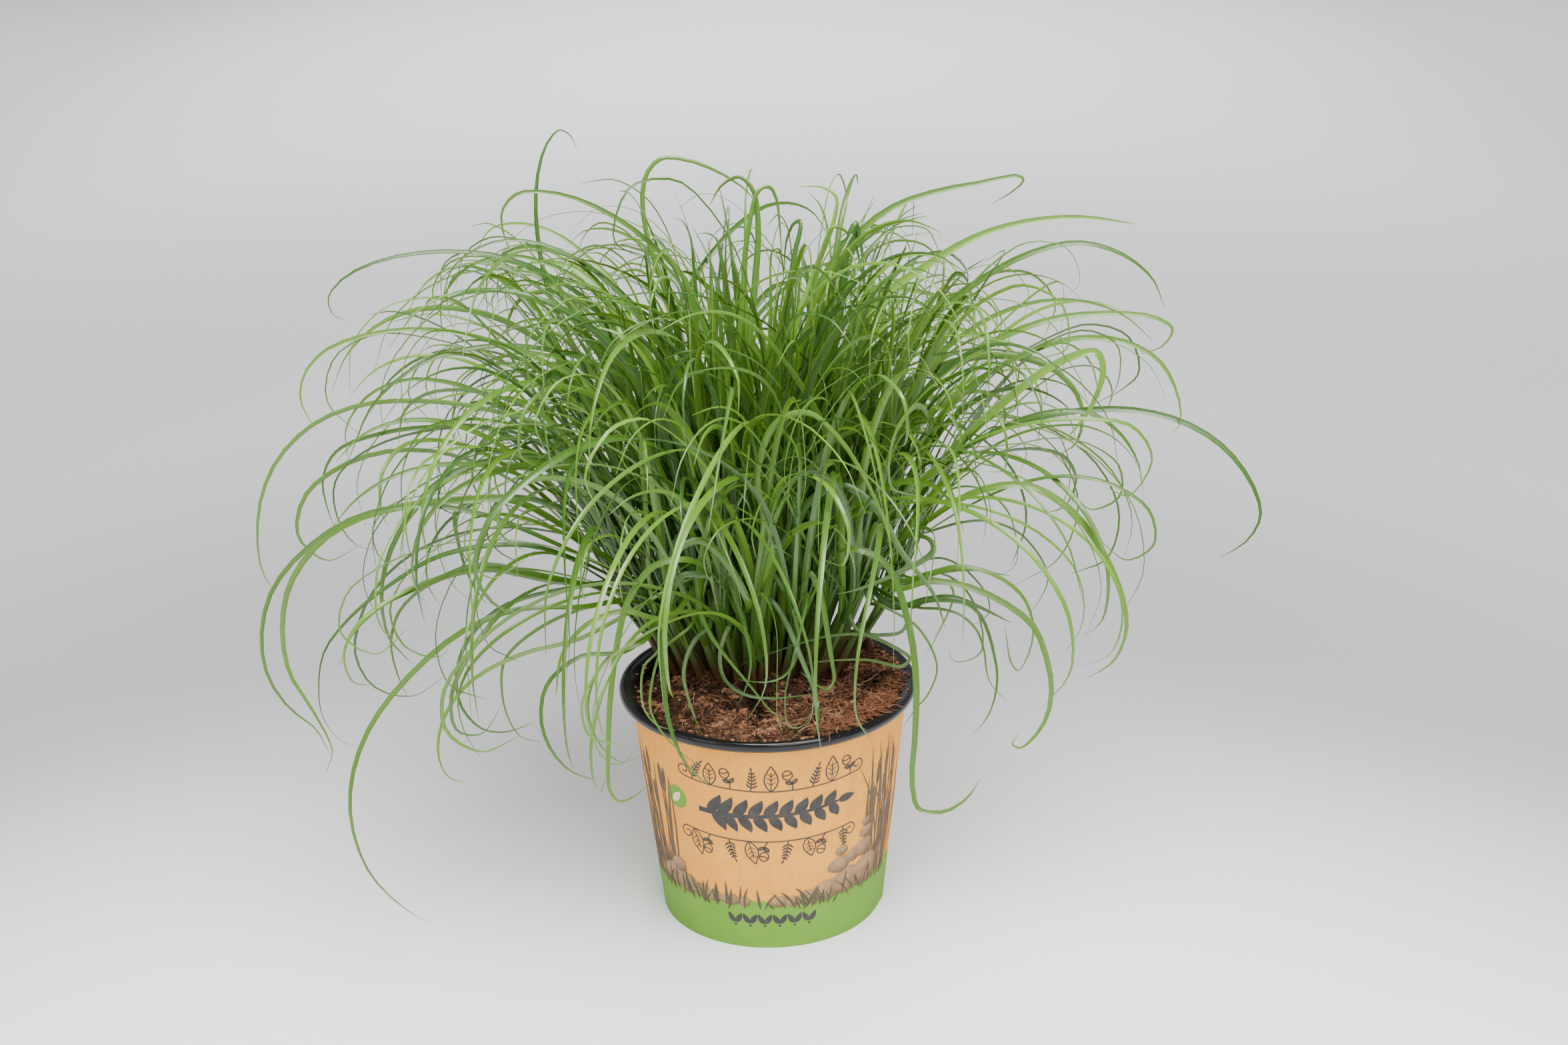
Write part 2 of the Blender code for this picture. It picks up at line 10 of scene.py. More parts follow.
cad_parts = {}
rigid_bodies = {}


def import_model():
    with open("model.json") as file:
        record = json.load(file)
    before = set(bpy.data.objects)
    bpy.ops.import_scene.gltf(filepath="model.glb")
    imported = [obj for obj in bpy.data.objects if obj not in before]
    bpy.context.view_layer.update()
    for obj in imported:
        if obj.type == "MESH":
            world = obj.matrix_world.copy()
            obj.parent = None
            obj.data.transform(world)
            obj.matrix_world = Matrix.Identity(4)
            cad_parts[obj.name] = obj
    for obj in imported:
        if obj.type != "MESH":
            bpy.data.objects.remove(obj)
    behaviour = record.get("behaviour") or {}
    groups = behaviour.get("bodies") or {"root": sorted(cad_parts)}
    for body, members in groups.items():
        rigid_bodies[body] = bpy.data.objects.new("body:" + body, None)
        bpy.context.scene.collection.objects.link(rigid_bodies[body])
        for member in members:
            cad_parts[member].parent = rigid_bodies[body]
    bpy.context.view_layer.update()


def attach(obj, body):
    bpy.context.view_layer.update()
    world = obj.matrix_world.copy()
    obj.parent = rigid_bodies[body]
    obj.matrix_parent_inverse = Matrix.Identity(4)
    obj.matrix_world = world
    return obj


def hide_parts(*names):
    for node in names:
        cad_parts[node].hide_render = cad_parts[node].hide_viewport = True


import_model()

# Pot
# A thin black nursery pot, vacuum-formed from one sheet of polystyrene, so the lip is a soft
# roll with a fine groove below its crown and the collar slopes into the bowl. Six drain
# holes are punched through the floor. It stands on the floor inside the sleeve.
SLEEVE_BASE_RADIUS = 0.0453
SLEEVE_TOP_RADIUS = 0.0551
SLEEVE_HEIGHT = 0.0926
BOARD = 0.0005
POT_CLEARANCE = 0.0003
POT_WALL = 0.001
DRAIN_HOLES = 6
DRAIN_RING = 0.03
DRAIN_RADIUS = 0.0045


def sleeve_radius(height):
    return SLEEVE_BASE_RADIUS + (SLEEVE_TOP_RADIUS - SLEEVE_BASE_RADIUS) * height / SLEEVE_HEIGHT


def pot_radius(height):
    return sleeve_radius(height) - BOARD - POT_CLEARANCE


def polar(reach, turn):
    return reach * cos(turn), reach * sin(turn)


def select_alone(piece):
    bpy.ops.object.select_all(action="DESELECT")
    piece.select_set(True)
    bpy.context.view_layer.objects.active = piece


def turned(name, sides, rings, fill="NGON"):
    """A circle extruded and scaled ring by ring, left in edit mode with its last ring selected."""
    bpy.ops.object.select_all(action="DESELECT")
    bpy.ops.mesh.primitive_circle_add(vertices=sides, radius=rings[0][0], fill_type=fill,
                                      location=(0, 0, rings[0][1]))
    piece = bpy.context.object
    piece.name = name
    bpy.ops.object.transform_apply(location=True, rotation=True, scale=True)
    bpy.ops.object.mode_set(mode="EDIT")
    bpy.ops.mesh.select_all(action="SELECT")
    for (radius, height), (next_radius, next_height) in zip(rings, rings[1:]):
        rise = (0, 0, next_height - height)
        bpy.ops.mesh.extrude_region_move(TRANSFORM_OT_translate={"value": rise})
        share = next_radius / radius
        bpy.ops.transform.resize(value=(share, share, 1))
    return piece


def face_outwards():
    """Turns every face of the mesh in edit mode outwards, and leaves edit mode."""
    bpy.ops.mesh.select_all(action="SELECT")
    bpy.ops.mesh.normals_make_consistent(inside=False)
    bpy.ops.object.mode_set(mode="OBJECT")


def apply_modifier(piece, kind, **settings):
    select_alone(piece)
    modifier = piece.modifiers.new(kind.lower(), kind)
    for setting, value in settings.items():
        setattr(modifier, setting, value)
    bpy.ops.object.modifier_apply(modifier=modifier.name)


pot = turned("pot_shell", 120, [
    (0.0436, 0.0), (0.0441, 0.0003), (0.0445, 0.0010), (pot_radius(0.03), 0.03),
    (pot_radius(0.06), 0.06), (pot_radius(SLEEVE_HEIGHT), SLEEVE_HEIGHT), (0.0551, 0.0934), (0.0580, 0.0937),
    (0.0591, 0.0940), (0.0597, 0.0946), (0.0600, 0.0955), (0.0600, 0.0966), (0.0597, 0.0974),
    (0.0592, 0.0979), (0.0586, 0.0981), (0.0580, 0.0980), (0.0575, 0.0976), (0.0571, 0.0975),
    (0.0560, 0.0971), (0.0548, 0.0966), (0.0536, 0.0960), (0.0529, 0.0953), (0.0526, 0.0944),
    (0.0523, 0.0930), (pot_radius(0.06) - POT_WALL, 0.06), (pot_radius(0.03) - POT_WALL, 0.03),
    (pot_radius(0.004) - POT_WALL, 0.0040), (0.0430, 0.0022), (0.0420, 0.0014)])
face_outwards()
bpy.ops.mesh.primitive_cylinder_add(vertices=20, radius=DRAIN_RADIUS, depth=0.01,
                                    location=(DRAIN_RING, 0, 0))
punch = bpy.context.object
for number in range(DRAIN_HOLES):
    punch.location = (*polar(DRAIN_RING, tau * (number + 0.5) / DRAIN_HOLES), 0)
    bpy.context.view_layer.update()
    apply_modifier(pot, "BOOLEAN", object=punch, solver="EXACT")
bpy.data.objects.remove(punch, do_unlink=True)
select_alone(pot)
bpy.ops.object.shade_smooth_by_angle(angle=radians(40))


def paint(name, roughness, specular=0.5):
    """A Principled material with its tree, shader and an Object coordinate socket."""
    material = bpy.data.materials.new(name)
    material.use_nodes = True
    tree = material.node_tree
    shader = tree.nodes["Principled BSDF"]
    shader.inputs["Roughness"].default_value = roughness
    shader.inputs["Specular IOR Level"].default_value = specular
    place = tree.nodes.new("ShaderNodeTexCoord").outputs["Object"]
    return material, tree, shader, place


def grain(tree, place, scale, detail=3.0, rough=0.55, stretch=None):
    """A noise value, with its coordinates stretched where the grain has a direction."""
    if stretch:
        mapping = tree.nodes.new("ShaderNodeMapping")
        mapping.inputs["Scale"].default_value = stretch
        tree.links.new(place, mapping.inputs["Vector"])
        place = mapping.outputs["Vector"]
    node = tree.nodes.new("ShaderNodeTexNoise")
    node.inputs["Scale"].default_value = scale
    node.inputs["Detail"].default_value = detail
    node.inputs["Roughness"].default_value = rough
    tree.links.new(place, node.inputs["Vector"])
    return node.outputs["Fac"]


def with_alpha(colour):
    """A colour with its alpha; a plain number stands for a grey."""
    return (colour,) * 3 + (1,) if isinstance(colour, (int, float)) else (*colour, 1)


def between(tree, value, low, high, first, last, stops=(), curve="LINEAR"):
    """A colour or grey that goes from first at low to last at high, by way of any stops."""
    node = tree.nodes.new("ShaderNodeValToRGB")
    ramp = node.color_ramp
    ramp.interpolation = curve
    ramp.elements[0].position = low
    ramp.elements[0].color = with_alpha(first)
    ramp.elements[1].position = high
    ramp.elements[1].color = with_alpha(last)
    for position, colour in stops:
        ramp.elements.new(position).color = with_alpha(colour)
    tree.links.new(value, node.inputs["Fac"])
    return node.outputs["Color"]


def plug(tree, given, socket):
    """Puts a number, a colour or the output of another node into a socket."""
    if isinstance(given, (int, float)):
        socket.default_value = given
    elif isinstance(given, tuple):
        socket.default_value = (*given, 1)
    else:
        tree.links.new(given, socket)


def mixed(tree, factor, first, last):
    """Two colours mixed by a value."""
    mix = tree.nodes.new("ShaderNodeMix")
    mix.data_type = "RGBA"
    for socket, given in ((0, factor), (6, first), (7, last)):
        plug(tree, given, mix.inputs[socket])
    return mix.outputs[2]


def coat(tree, shader, value, socket="Base Color"):
    tree.links.new(value, shader.inputs[socket])


def raised(tree, shader, value, strength, distance):
    bump = tree.nodes.new("ShaderNodeBump")
    bump.inputs["Strength"].default_value = strength
    bump.inputs["Distance"].default_value = distance
    tree.links.new(value, bump.inputs["Height"])
    tree.links.new(bump.outputs["Normal"], shader.inputs["Normal"])


black_plastic, tree, shader, place = paint("satin_black_plastic", 0.20, 0.34)
dust = grain(tree, place, 420, 4, 0.7)
cloud = grain(tree, place, 38, 3, 0.6)
dusty = between(tree, dust, 0.62, 0.76, (0.006, 0.006, 0.007), (0.075, 0.050, 0.034))
bare = between(tree, cloud, 0.3, 0.7, (0.005, 0.005, 0.006), (0.010, 0.010, 0.010))
coat(tree, shader, mixed(tree, 0.25, bare, dusty))
coat(tree, shader, between(tree, cloud, 0.3, 0.72, 0.10, 0.20), "Roughness")
raised(tree, shader, grain(tree, place, 500, 2), 0.04, 0.0002)
pot.data.materials.append(black_plastic)
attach(pot, "root")
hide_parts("pot")

# Sleeve
# A tube of uncoated kraft board, half a millimetre thick, die-cut as a fan, glued along a seam
# at the back and packed flat, which leaves a crease down two opposite sides. Its lower edge
# stands on the floor and its upper edge meets the underside of the pot's lip.
CREASES = (radians(-9), radians(171))
CREASE_RISE = 0.0009
CREASE_SPREAD = 3.5
SEAM = 90
SEAM_LAP = 13.0
ROWS = 18


def crease_rise(bearing):
    """How far the board stands out beside its two fold creases."""
    rise = 0.0
    for crease in CREASES:
        off = abs((bearing - crease + pi) % tau - pi)
        rise += CREASE_RISE * exp(-degrees(off) / CREASE_SPREAD)
    return rise


levels = [row * SLEEVE_HEIGHT / ROWS for row in range(ROWS + 1)]
sleeve = turned("carton_sleeve", 160, [(sleeve_radius(level), level) for level in levels], "NOTHING")
face_outwards()
for vert in sleeve.data.vertices:
    bearing = atan2(vert.co.y, vert.co.x)
    rise = crease_rise(bearing)
    past_seam = degrees(bearing) - SEAM
    if past_seam > -0.1:
        rise += BOARD * min(1.0, exp((SEAM_LAP - past_seam) / 4))
    radius = hypot(vert.co.x, vert.co.y)
    vert.co.x *= 1 + rise / radius
    vert.co.y *= 1 + rise / radius
apply_modifier(sleeve, "SOLIDIFY", thickness=BOARD, offset=-1)
bpy.ops.object.shade_smooth_by_angle(angle=radians(30))
round_map = sleeve.data.uv_layers.new(name="round_map")
for face in sleeve.data.polygons:
    middle = atan2(face.center.x, -face.center.y)
    for loop in face.loop_indices:
        corner = sleeve.data.vertices[sleeve.data.loops[loop].vertex_index].co
        turn = atan2(corner.x, -corner.y)
        turn += tau * round((middle - turn) / tau)
        round_map.data[loop].uv = (0.5 + turn / tau, corner.z / SLEEVE_HEIGHT)


def axes(tree, place):
    """The X, Y and Z values of a place."""
    split = tree.nodes.new("ShaderNodeSeparateXYZ")
    tree.links.new(place, split.inputs["Vector"])
    return split.outputs


def worked(tree, operation, *values):
    """A piece of arithmetic on values, each a number or the output of another node."""
    node = tree.nodes.new("ShaderNodeMath")
    node.operation = operation
    for given, socket in zip(values, node.inputs):
        plug(tree, given, socket)
    return node.outputs[0]


BAND_INK = (0.130, 0.310, 0.022), (0.165, 0.350, 0.034)
kraft_carton, tree, shader, place = paint("printed_kraft_board", 0.72, 0.30)
mottle = grain(tree, place, 95, 5, 0.65)
pulp = grain(tree, place, 900, 3, 0.6)
fibre = grain(tree, place, 260, 4, 0.6, (1.0, 1.0, 0.22))
board = between(tree, mottle, 0.30, 0.72, (0.78, 0.305, 0.030), (0.89, 0.390, 0.048))
board = mixed(tree, between(tree, pulp, 0.45, 0.75, 0.0, 0.45), board, (0.93, 0.46, 0.080))
board = mixed(tree, between(tree, fibre, 0.60, 0.78, 0.0, 0.6), board, (0.64, 0.22, 0.020))
ink = between(tree, mottle, 0.30, 0.72, *BAND_INK)
ink = mixed(tree, between(tree, pulp, 0.5, 0.8, 0.0, 0.30), ink, (0.24, 0.42, 0.07))
unwrapped = tree.nodes.new("ShaderNodeUVMap")
unwrapped.uv_map = "round_map"
around, up, _ = axes(tree, unwrapped.outputs["UV"])
torn = grain(tree, unwrapped.outputs["UV"], 26, 6, 0.7, (5.0, 1.0, 1.0))
edge = worked(tree, "MULTIPLY_ADD", torn, 0.055, up)
printed = mixed(tree, between(tree, edge, 0.2745, 0.2765, 1.0, 0.0), board, ink)
cut_edge = between(tree, around, 0.0016, 0.0022, 0.8, 0.0)
printed = mixed(tree, cut_edge, printed, (0.34, 0.17, 0.060))
coat(tree, shader, printed)
raised(tree, shader, pulp, 0.22, 0.0002)
sleeve.data.materials.append(kraft_carton)
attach(sleeve, "root")
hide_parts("sleeve")

# Print on the sleeve
# Line work and soft brown tints offset-printed on the board: a leafy branch between two rows
# of drawn leaves, buds and ferns, reeds up both sides, heaps of river stones along the green
# band and a green spot. Each ink is a film a few hundredths of a millimetre proud.
LINE = 0.24
PROUD = 0.00006
FILM = 0.00004
MIDDLE_RADIUS = 50.0


def on_sleeve(aside, height, proud):
    """The place on the board that lies aside and above the front's foot, both in millimetres."""
    turn = aside / MIDDLE_RADIUS
    radius = sleeve_radius(height / 1000) + proud + crease_rise(turn - pi / 2)
    return (radius * sin(turn), -radius * cos(turn), height / 1000)


def unit(rows):
    """Vectors scaled to a length of one."""
    return rows / np.linalg.norm(rows, axis=-1, keepdims=True)


def ink_stroke(film, path, widths, proud=PROUD):
    """A strip of ink along a path, with one half-width or its own at each point."""
    start = len(film[0])
    path = np.array(path, float)
    ahead = unit(np.gradient(path, axis=0))
    for point, way, width in zip(path, ahead, np.broadcast_to(widths, len(path))):
        across = np.array([-way[1], way[0]]) * width
        for share in (1.0, 0.0, -1.0):
            film[0].append(on_sleeve(*(point + across * share), proud))
            film[2].append(0.75 + 0.25 * share)
    for row in range(len(path) - 1):
        for column in range(2):
            corner = start + row * 3 + column
            film[1].append((corner, corner + 1, corner + 4, corner + 3))


def bent_stem(foot, turns, length):
    """A path from the foot on, with a bearing for each of its points."""
    steps = np.stack([np.sin(turns), np.cos(turns)], 1) * length / (len(turns) - 1)
    return np.concatenate([[foot], foot + np.cumsum(steps[:-1], axis=0)])


def ink_leaf(film, foot, bearing, length, width, bend=0.0, proud=PROUD):
    """A pointed leaf shape: widest a third of the way up, bent to one side."""
    shares = np.linspace(0, 1, 11)
    path = bent_stem(foot, bearing + bend * (shares - 0.3), length)
    ink_stroke(film, path, width * np.sin(np.pi * shares ** 0.8) ** 0.85 + 0.04, proud)


def up_and_across(bearing):
    way = np.array([sin(bearing), cos(bearing)])
    return way, np.array([way[1], -way[0]])


def drawn_leaf(film, foot, bearing, length, width):
    """A leaf drawn in line: its two edges, its rib and side veins."""
    shares = np.linspace(0, 1, 13)
    way, across = up_and_across(bearing)
    swell = width * np.sin(np.pi * shares ** 0.85)
    for side in (1, -1):
        path = foot + shares[:, None] * way * length + side * swell[:, None] * across
        ink_stroke(film, path, LINE)
    ink_stroke(film, foot + shares[:10, None] * way * length, LINE * 0.8)
    if length > 7:
        for level in (0.25, 0.42, 0.59):
            root = foot + way * length * level
            for side in (1, -1):
                end = root + way * length * 0.13 + across * side * width * 0.62
                ink_stroke(film, [root, (root + end) / 2 + way * 0.12, end], LINE * 0.7)


def drawn_bud(film, foot, bearing, length):
    """A round seed head on a bent stem, with a cross line and a short sepal at each side."""
    way, across = up_and_across(bearing)
    shares = np.linspace(0, 1, 8)[:, None]
    stem = foot + shares * way * length * 0.55 + np.sin(shares * pi) * across * 0.8
    ink_stroke(film, stem, LINE)
    middle = foot + way * length * 0.78
    turns = np.linspace(0, tau, 22)[:, None]
    reach = length * 0.23
    ink_stroke(film, middle + np.cos(turns) * way * reach + np.sin(turns) * across * reach * 0.85,
               LINE)
    bar = np.linspace(-0.72, 0.72, 7)[:, None]
    ink_stroke(film, middle + bar * across * reach + (bar ** 2) * way * 0.7, LINE)
    for side in (1, -1):
        drawn_leaf(film, stem[4], bearing + side * 0.95, length * 0.30, length * 0.07)


def drawn_fern(film, foot, bearing, length, bend):
    """A curved stem with pairs of small drawn leaves."""
    turns = bearing + bend * np.linspace(0, 1, 13)
    stem = bent_stem(foot, turns, length)
    ink_stroke(film, stem, LINE)
    for level in (2, 4, 6, 8, 10):
        for side in (1, -1):
            ink_leaf(film, stem[level], turns[level] + side * 0.95, 3.3 - 0.17 * level, 0.32,
                     -side * 0.5)
    ink_leaf(film, stem[-1], turns[-1], 1.8, 0.30)


def ink_stone(film, centre, radius, squash, proud=0.00005, ragged=0.0, seed=0):
    """A filled round or stone shape in rings that follow the board, darker at its lower rim."""
    rings, spokes = 6, 30
    dice = random.Random(seed)
    lumps = [1 + ragged * dice.uniform(-1, 1) for _ in range(4)]
    start = len(film[0])
    for ring in range(rings):
        for spoke in range(spokes):
            turn = tau * spoke / spokes
            swell = sum(lumps[k] * cos(turn * k + k * k) for k in (1, 2, 3)) * ragged
            share = (ring + 0.02) / (rings - 0.98)
            reach = radius * share * (1 + swell)
            film[0].append(on_sleeve(centre[0] + reach * cos(turn),
                                     centre[1] + reach * squash * sin(turn), proud))
            shade = 0.30 + 0.35 * share ** 3 - 0.45 * share * sin(turn - 0.5)
            film[2].append(min(1, max(0, shade)))
    for ring in range(rings - 1):
        for spoke in range(spokes):
            a = start + ring * spokes + spoke
            b = start + ring * spokes + (spoke + 1) % spokes
            film[1].append((a, a + spokes, b + spokes, b))
    film[1].append(tuple(start + spoke for spoke in range(spokes - 1, -1, -1)))


def mesh_piece(name, points, faces, values, materials):
    """A new piece from points and faces, with values at its points and its materials."""
    mesh = bpy.data.meshes.new(name)
    mesh.from_pydata(points, [], faces)
    for label in values:
        mesh.attributes.new(label, "FLOAT", "POINT").data.foreach_set("value", values[label])
    for material in materials:
        mesh.materials.append(material)
    piece = bpy.data.objects.new(name, mesh)
    bpy.context.scene.collection.objects.link(piece)
    return piece


def shade_attribute(tree, name):
    node = tree.nodes.new("ShaderNodeAttribute")
    node.attribute_name = name
    return node.outputs["Fac"]


def lay_film(name, film, ink_name, thin, full, low, high, shaded=0.0):
    """A film of ink that lets the board's mottle through, heavier where it is drawn in shade."""
    material, tree, shader, place = paint(ink_name, 0.70, 0.30)
    ink = between(tree, grain(tree, place, 240, 5, 0.7), low, high, thin, full)
    if shaded:
        depth = between(tree, shade_attribute(tree, "shade"), 0.1, 0.9, 0.0, shaded)
        ink = mixed(tree, depth, ink, tuple(value * 0.35 for value in full))
    coat(tree, shader, ink)
    raised(tree, shader, grain(tree, place, 900, 3), 0.2, 0.0002)
    piece = mesh_piece(name, film[0], film[1], {"shade": film[2]}, [material])
    for face in piece.data.polygons:
        if face.normal.dot(Vector((face.center.x, face.center.y, 0))) < 0:
            face.flip()
    apply_modifier(piece, "SOLIDIFY", thickness=FILM, offset=1)
    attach(piece, "root")


branch = ([], [], [])
shares = np.linspace(-1, 1, 48)
stem = np.stack([shares * 27.5 - 0.5, 64.4 - 1.6 * (1 - shares ** 2) + 1.2 * shares], 1)
ink_stroke(branch, stem, 0.55 + 0.30 * (1 - shares))
for number in range(9):
    root = stem[3 + int(number * 4.9)]
    size = 10.6 - 0.35 * number
    ink_leaf(branch, root, radians(40), size, 2.15, -0.55)
    ink_leaf(branch, root + np.array([1.9, 0]), radians(140), size * 0.92, 2.05, 0.55)
ink_leaf(branch, stem[-1], radians(84), 7.5, 1.8)
for level, lift, dip in ((76.6, 1, -2.4), (53.2, -1, -2.2)):
    shares = np.linspace(-1, 1, 60)
    arc = np.stack([shares * 34 + 0.8 * lift, level + dip * (1 - shares ** 2)], 1)
    ink_stroke(branch, arc, LINE)
    for number, share in enumerate(np.linspace(-0.90, 0.90, 9)):
        foot = np.array([share * 34 + 0.8 * lift, level + dip * (1 - share * share)])
        slant = radians(16 * sin(number * 2.1 + lift))
        bearing = slant if lift > 0 else pi + slant
        motif = (number * 2 + (lift > 0)) % 3
        if motif == 0:
            drawn_leaf(branch, foot, bearing, 10.2 + 1.6 * cos(number * 1.7), 2.5)
        elif motif == 1:
            drawn_fern(branch, foot, bearing, 9.4, 0.5 * cos(number * 1.3))
        else:
            drawn_bud(branch, foot, bearing, 9.2)
    for side, end in ((-1, arc[0]), (1, arc[-1])):
        coil = np.linspace(0, 2.3 * pi, 30)
        reach = 3.0 * (1 - coil / 9.5)
        ink_stroke(branch, np.stack([end[0] + side * reach * np.sin(coil),
                                     end[1] + lift * (3.0 - reach * np.cos(coil))], 1), LINE)
for number in range(6):
    foot = np.array([-16.0 + 6.4 * number, 11.8])
    ink_leaf(branch, foot, radians(-36), 5.4, 1.15, 0.4)
    ink_leaf(branch, foot, radians(36), 5.4, 1.15, -0.4)
    ink_stone(branch, foot - np.array([0, 1.1]), 0.55, 1.0)
lay_film("branch_print", branch, "dark_grey_ink",
         (0.075, 0.066, 0.056), (0.036, 0.036, 0.037), 0.25, 0.6)

reeds = ([], [], [])
for side in (-1, 1):
    dice = random.Random(5 + side)
    for number in range(30):
        foot = np.array([side * dice.uniform(44, 66), dice.uniform(18, 22)])
        tall = 16 + 54 * dice.random() ** 1.5
        ink_leaf(reeds, foot, side * radians(dice.uniform(-13, 9)), tall,
                 dice.uniform(0.35, 0.85), -side * dice.uniform(-0.35, 0.55),
                 0.00004 + 0.0000015 * number)
    for number in range(6):
        foot = np.array([side * (46 + 3.2 * number), 20.0])
        tall = 38 + 22 * abs(sin(number * 1.9 + side))
        shares = np.linspace(0, 1, 12)[:, None]
        way, across = up_and_across(side * radians(dice.uniform(-5, 3)))
        ink_stroke(reeds, foot + shares * way * tall, 0.30, 0.00009)
        head = foot + way * tall * 0.80 + shares * way * 10.0
        ink_stroke(reeds, head, 1.15 * np.sin(np.pi * np.linspace(0.06, 0.94, 12)) ** 0.3,
                   0.00010 + 0.000002 * number)
lay_film("reed_print", reeds, "umber_tint",
         (0.21, 0.130, 0.068), (0.095, 0.070, 0.045), 0.35, 0.65, 0.35)

stones = ([], [], [])
for number, (aside, height, size, squash) in enumerate((
        (-47, 26, 8.0, 0.62), (-39, 24.5, 6.2, 0.72), (-43, 32, 4.6, 0.70), (-31, 23.5, 4.6, 0.66),
        (-25, 22.8, 3.6, 0.78), (-18, 22.6, 4.4, 0.60), (-11.5, 22.3, 2.8, 0.80),
        (3, 22.4, 3.8, 0.66), (8.5, 22.2, 2.8, 0.85), (15, 23.2, 4.6, 0.72),
        (23, 24.6, 6.6, 0.72), (33, 26.5, 8.4, 0.68), (29, 35, 5.4, 0.66), (36, 37.2, 3.8, 0.78),
        (30, 41.3, 3.2, 0.66), (44, 27.5, 8.6, 0.80), (42, 38.6, 5.6, 0.70),
        (43, 45.6, 3.9, 0.66), (42.5, 50.4, 2.6, 0.70))):
    ink_stone(stones, (aside, height), size, squash, 0.00010 + 0.000002 * number, 0.05, number)
lay_film("stone_print", stones, "brown_tint",
         (0.50, 0.285, 0.135), (0.27, 0.165, 0.085), 0.33, 0.66, 0.80)

tussocks = ([], [], [])
dice = random.Random(12)
for number in range(64):
    aside = dice.choice((dice.uniform(-60, 60), dice.gauss(-30, 7), dice.gauss(20, 9)))
    foot = np.array([aside, dice.uniform(17.5, 20.5)])
    ink_leaf(tussocks, foot, radians(dice.gauss(0, 26)), dice.uniform(4, 12),
             dice.uniform(0.30, 0.60), dice.uniform(-0.7, 0.7), 0.00015 + 0.000001 * number)
lay_film("tussock_print", tussocks, "olive_tint",
         (0.16, 0.125, 0.055), (0.075, 0.072, 0.040), 0.35, 0.62, 0.4)

spot = ([], [], [])
ink_stone(spot, (-38.6, 65.0), 5.0, 1.0)
lay_film("green_spot_print", spot, "green_ink", *BAND_INK, 0.3, 0.7)
pale = ([], [], [])
ink_leaf(pale, np.array([-40.7, 62.4]), radians(38), 6.6, 1.5, 0.0, 0.00011)
lay_film("pale_leaf_print", pale, "pale_ink", (0.72, 0.60, 0.36), (0.80, 0.70, 0.48), 0.3, 0.7)

# Potting mix
# Moist coir and peat pressed into the pot: a lumpy bed with dark hollows, loose crumbs of
# pith on top, curly fibres, a few white flecks and one pale bead. It is a little higher at
# the front right, where crumbs lie on the collar. Crumbs and fibres carry painted shade:
# darker low in the pits and around the clump's foot, lighter high on the heaps.
SOIL_LEVEL = 0.0938
SOIL_FOOT = 0.0018
SOIL_RADIUS = 0.0518
LUMP_HEIGHT = 0.0030
LUMP_SHAPES = 8
CLODS = 230
CRUMBS = 8300
COLLAR_CRUMBS = 900
FIBRE_SHAPES = 14
FIBRES = 1500
EDGE_FIBRES = 420
FLECKS = 70
CLUMP = np.array([-0.0040, 0.0220])
CLUMP_REACH = np.array([0.0345, 0.0200])


def soil_slope(x, y):
    lumps = sin(x * 310.0 + 1.3) * cos(y * 270.0 - 0.4)
    lumps += 0.6 * sin(x * 620.0 - y * 540.0 + 2.1)
    return SOIL_LEVEL + 0.0024 * (0.75 * x - 0.65 * y) / 0.05 + 0.00066 * lumps


def soil_height(x, y):
    """The mix pressed in by hand: lumps, pits, and a heap towards the front and the right."""
    rough = noise.fractal(Vector((x * 150, y * 150, 3.1)), 0.7, 2.1, 5)
    pit = max(0.0, noise.noise(Vector((x * 88, y * 88, 8.4))) - 0.10)
    edge = min(1.0, max(0.0, hypot(x, y) - 0.047) / 0.005)
    lift = soil_slope(x, y) + 0.0024 * rough - 0.0190 * pit + 0.0009
    return min(lift, 0.0976) - 0.0012 * edge * (1 if y > 0.3 * x + 0.01 else 0.2)


bed = turned("potting_mix_bed", 180, [(0.0426, SOIL_FOOT), (0.0514, 0.0850), (0.0520, 0.0925)])
for ring in range(78):
    bpy.ops.mesh.inset(thickness=0.00065)
bpy.ops.mesh.merge(type="CENTER")
face_outwards()
for vert in bed.data.vertices:
    if vert.co.z > 0.0900:
        vert.co.z = soil_height(vert.co.x, vert.co.y)
bpy.ops.object.shade_smooth()

coir_mix, tree, shader, place = paint("moist_coir_mix", 0.95, 0.15)
coarse = grain(tree, place, 210, 6, 0.7)
fine = grain(tree, place, 900, 5, 0.7)
pith = between(tree, coarse, 0.40, 0.66, (0.007, 0.005, 0.004), (0.13, 0.060, 0.032))
pith = mixed(tree, between(tree, fine, 0.45, 0.68, 0.0, 0.8), pith, (0.26, 0.130, 0.075))
coat(tree, shader, pith)
raised(tree, shader, fine, 0.9, 0.0008)
bed.data.materials.append(coir_mix)
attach(bed, "root")
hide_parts("soil")


def scatter(name, shapes, spots, material):
    """One mesh of many small copies; each spot gives a shape, place, turn, size and shade."""
    points, faces, shades = [], [], []
    for number, place, turn, size, shade in spots:
        first = len(points)
        for point in shapes[number][0]:
            points.append(Vector(place) + turn @ (Vector(point) * Vector(size)))
        faces.extend(tuple(first + corner for corner in face) for face in shapes[number][1])
        shades.extend([shade] * len(shapes[number][0]))
    piece = mesh_piece(name, points, faces, {"shade": shades}, [material])
    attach(piece, "root")


def spun(turn, tilt=0.0, axis="X"):
    return Matrix.Rotation(turn, 3, "Z") @ Matrix.Rotation(tilt, 3, axis)


def clamped(value):
    return min(1.0, max(0.0, value))


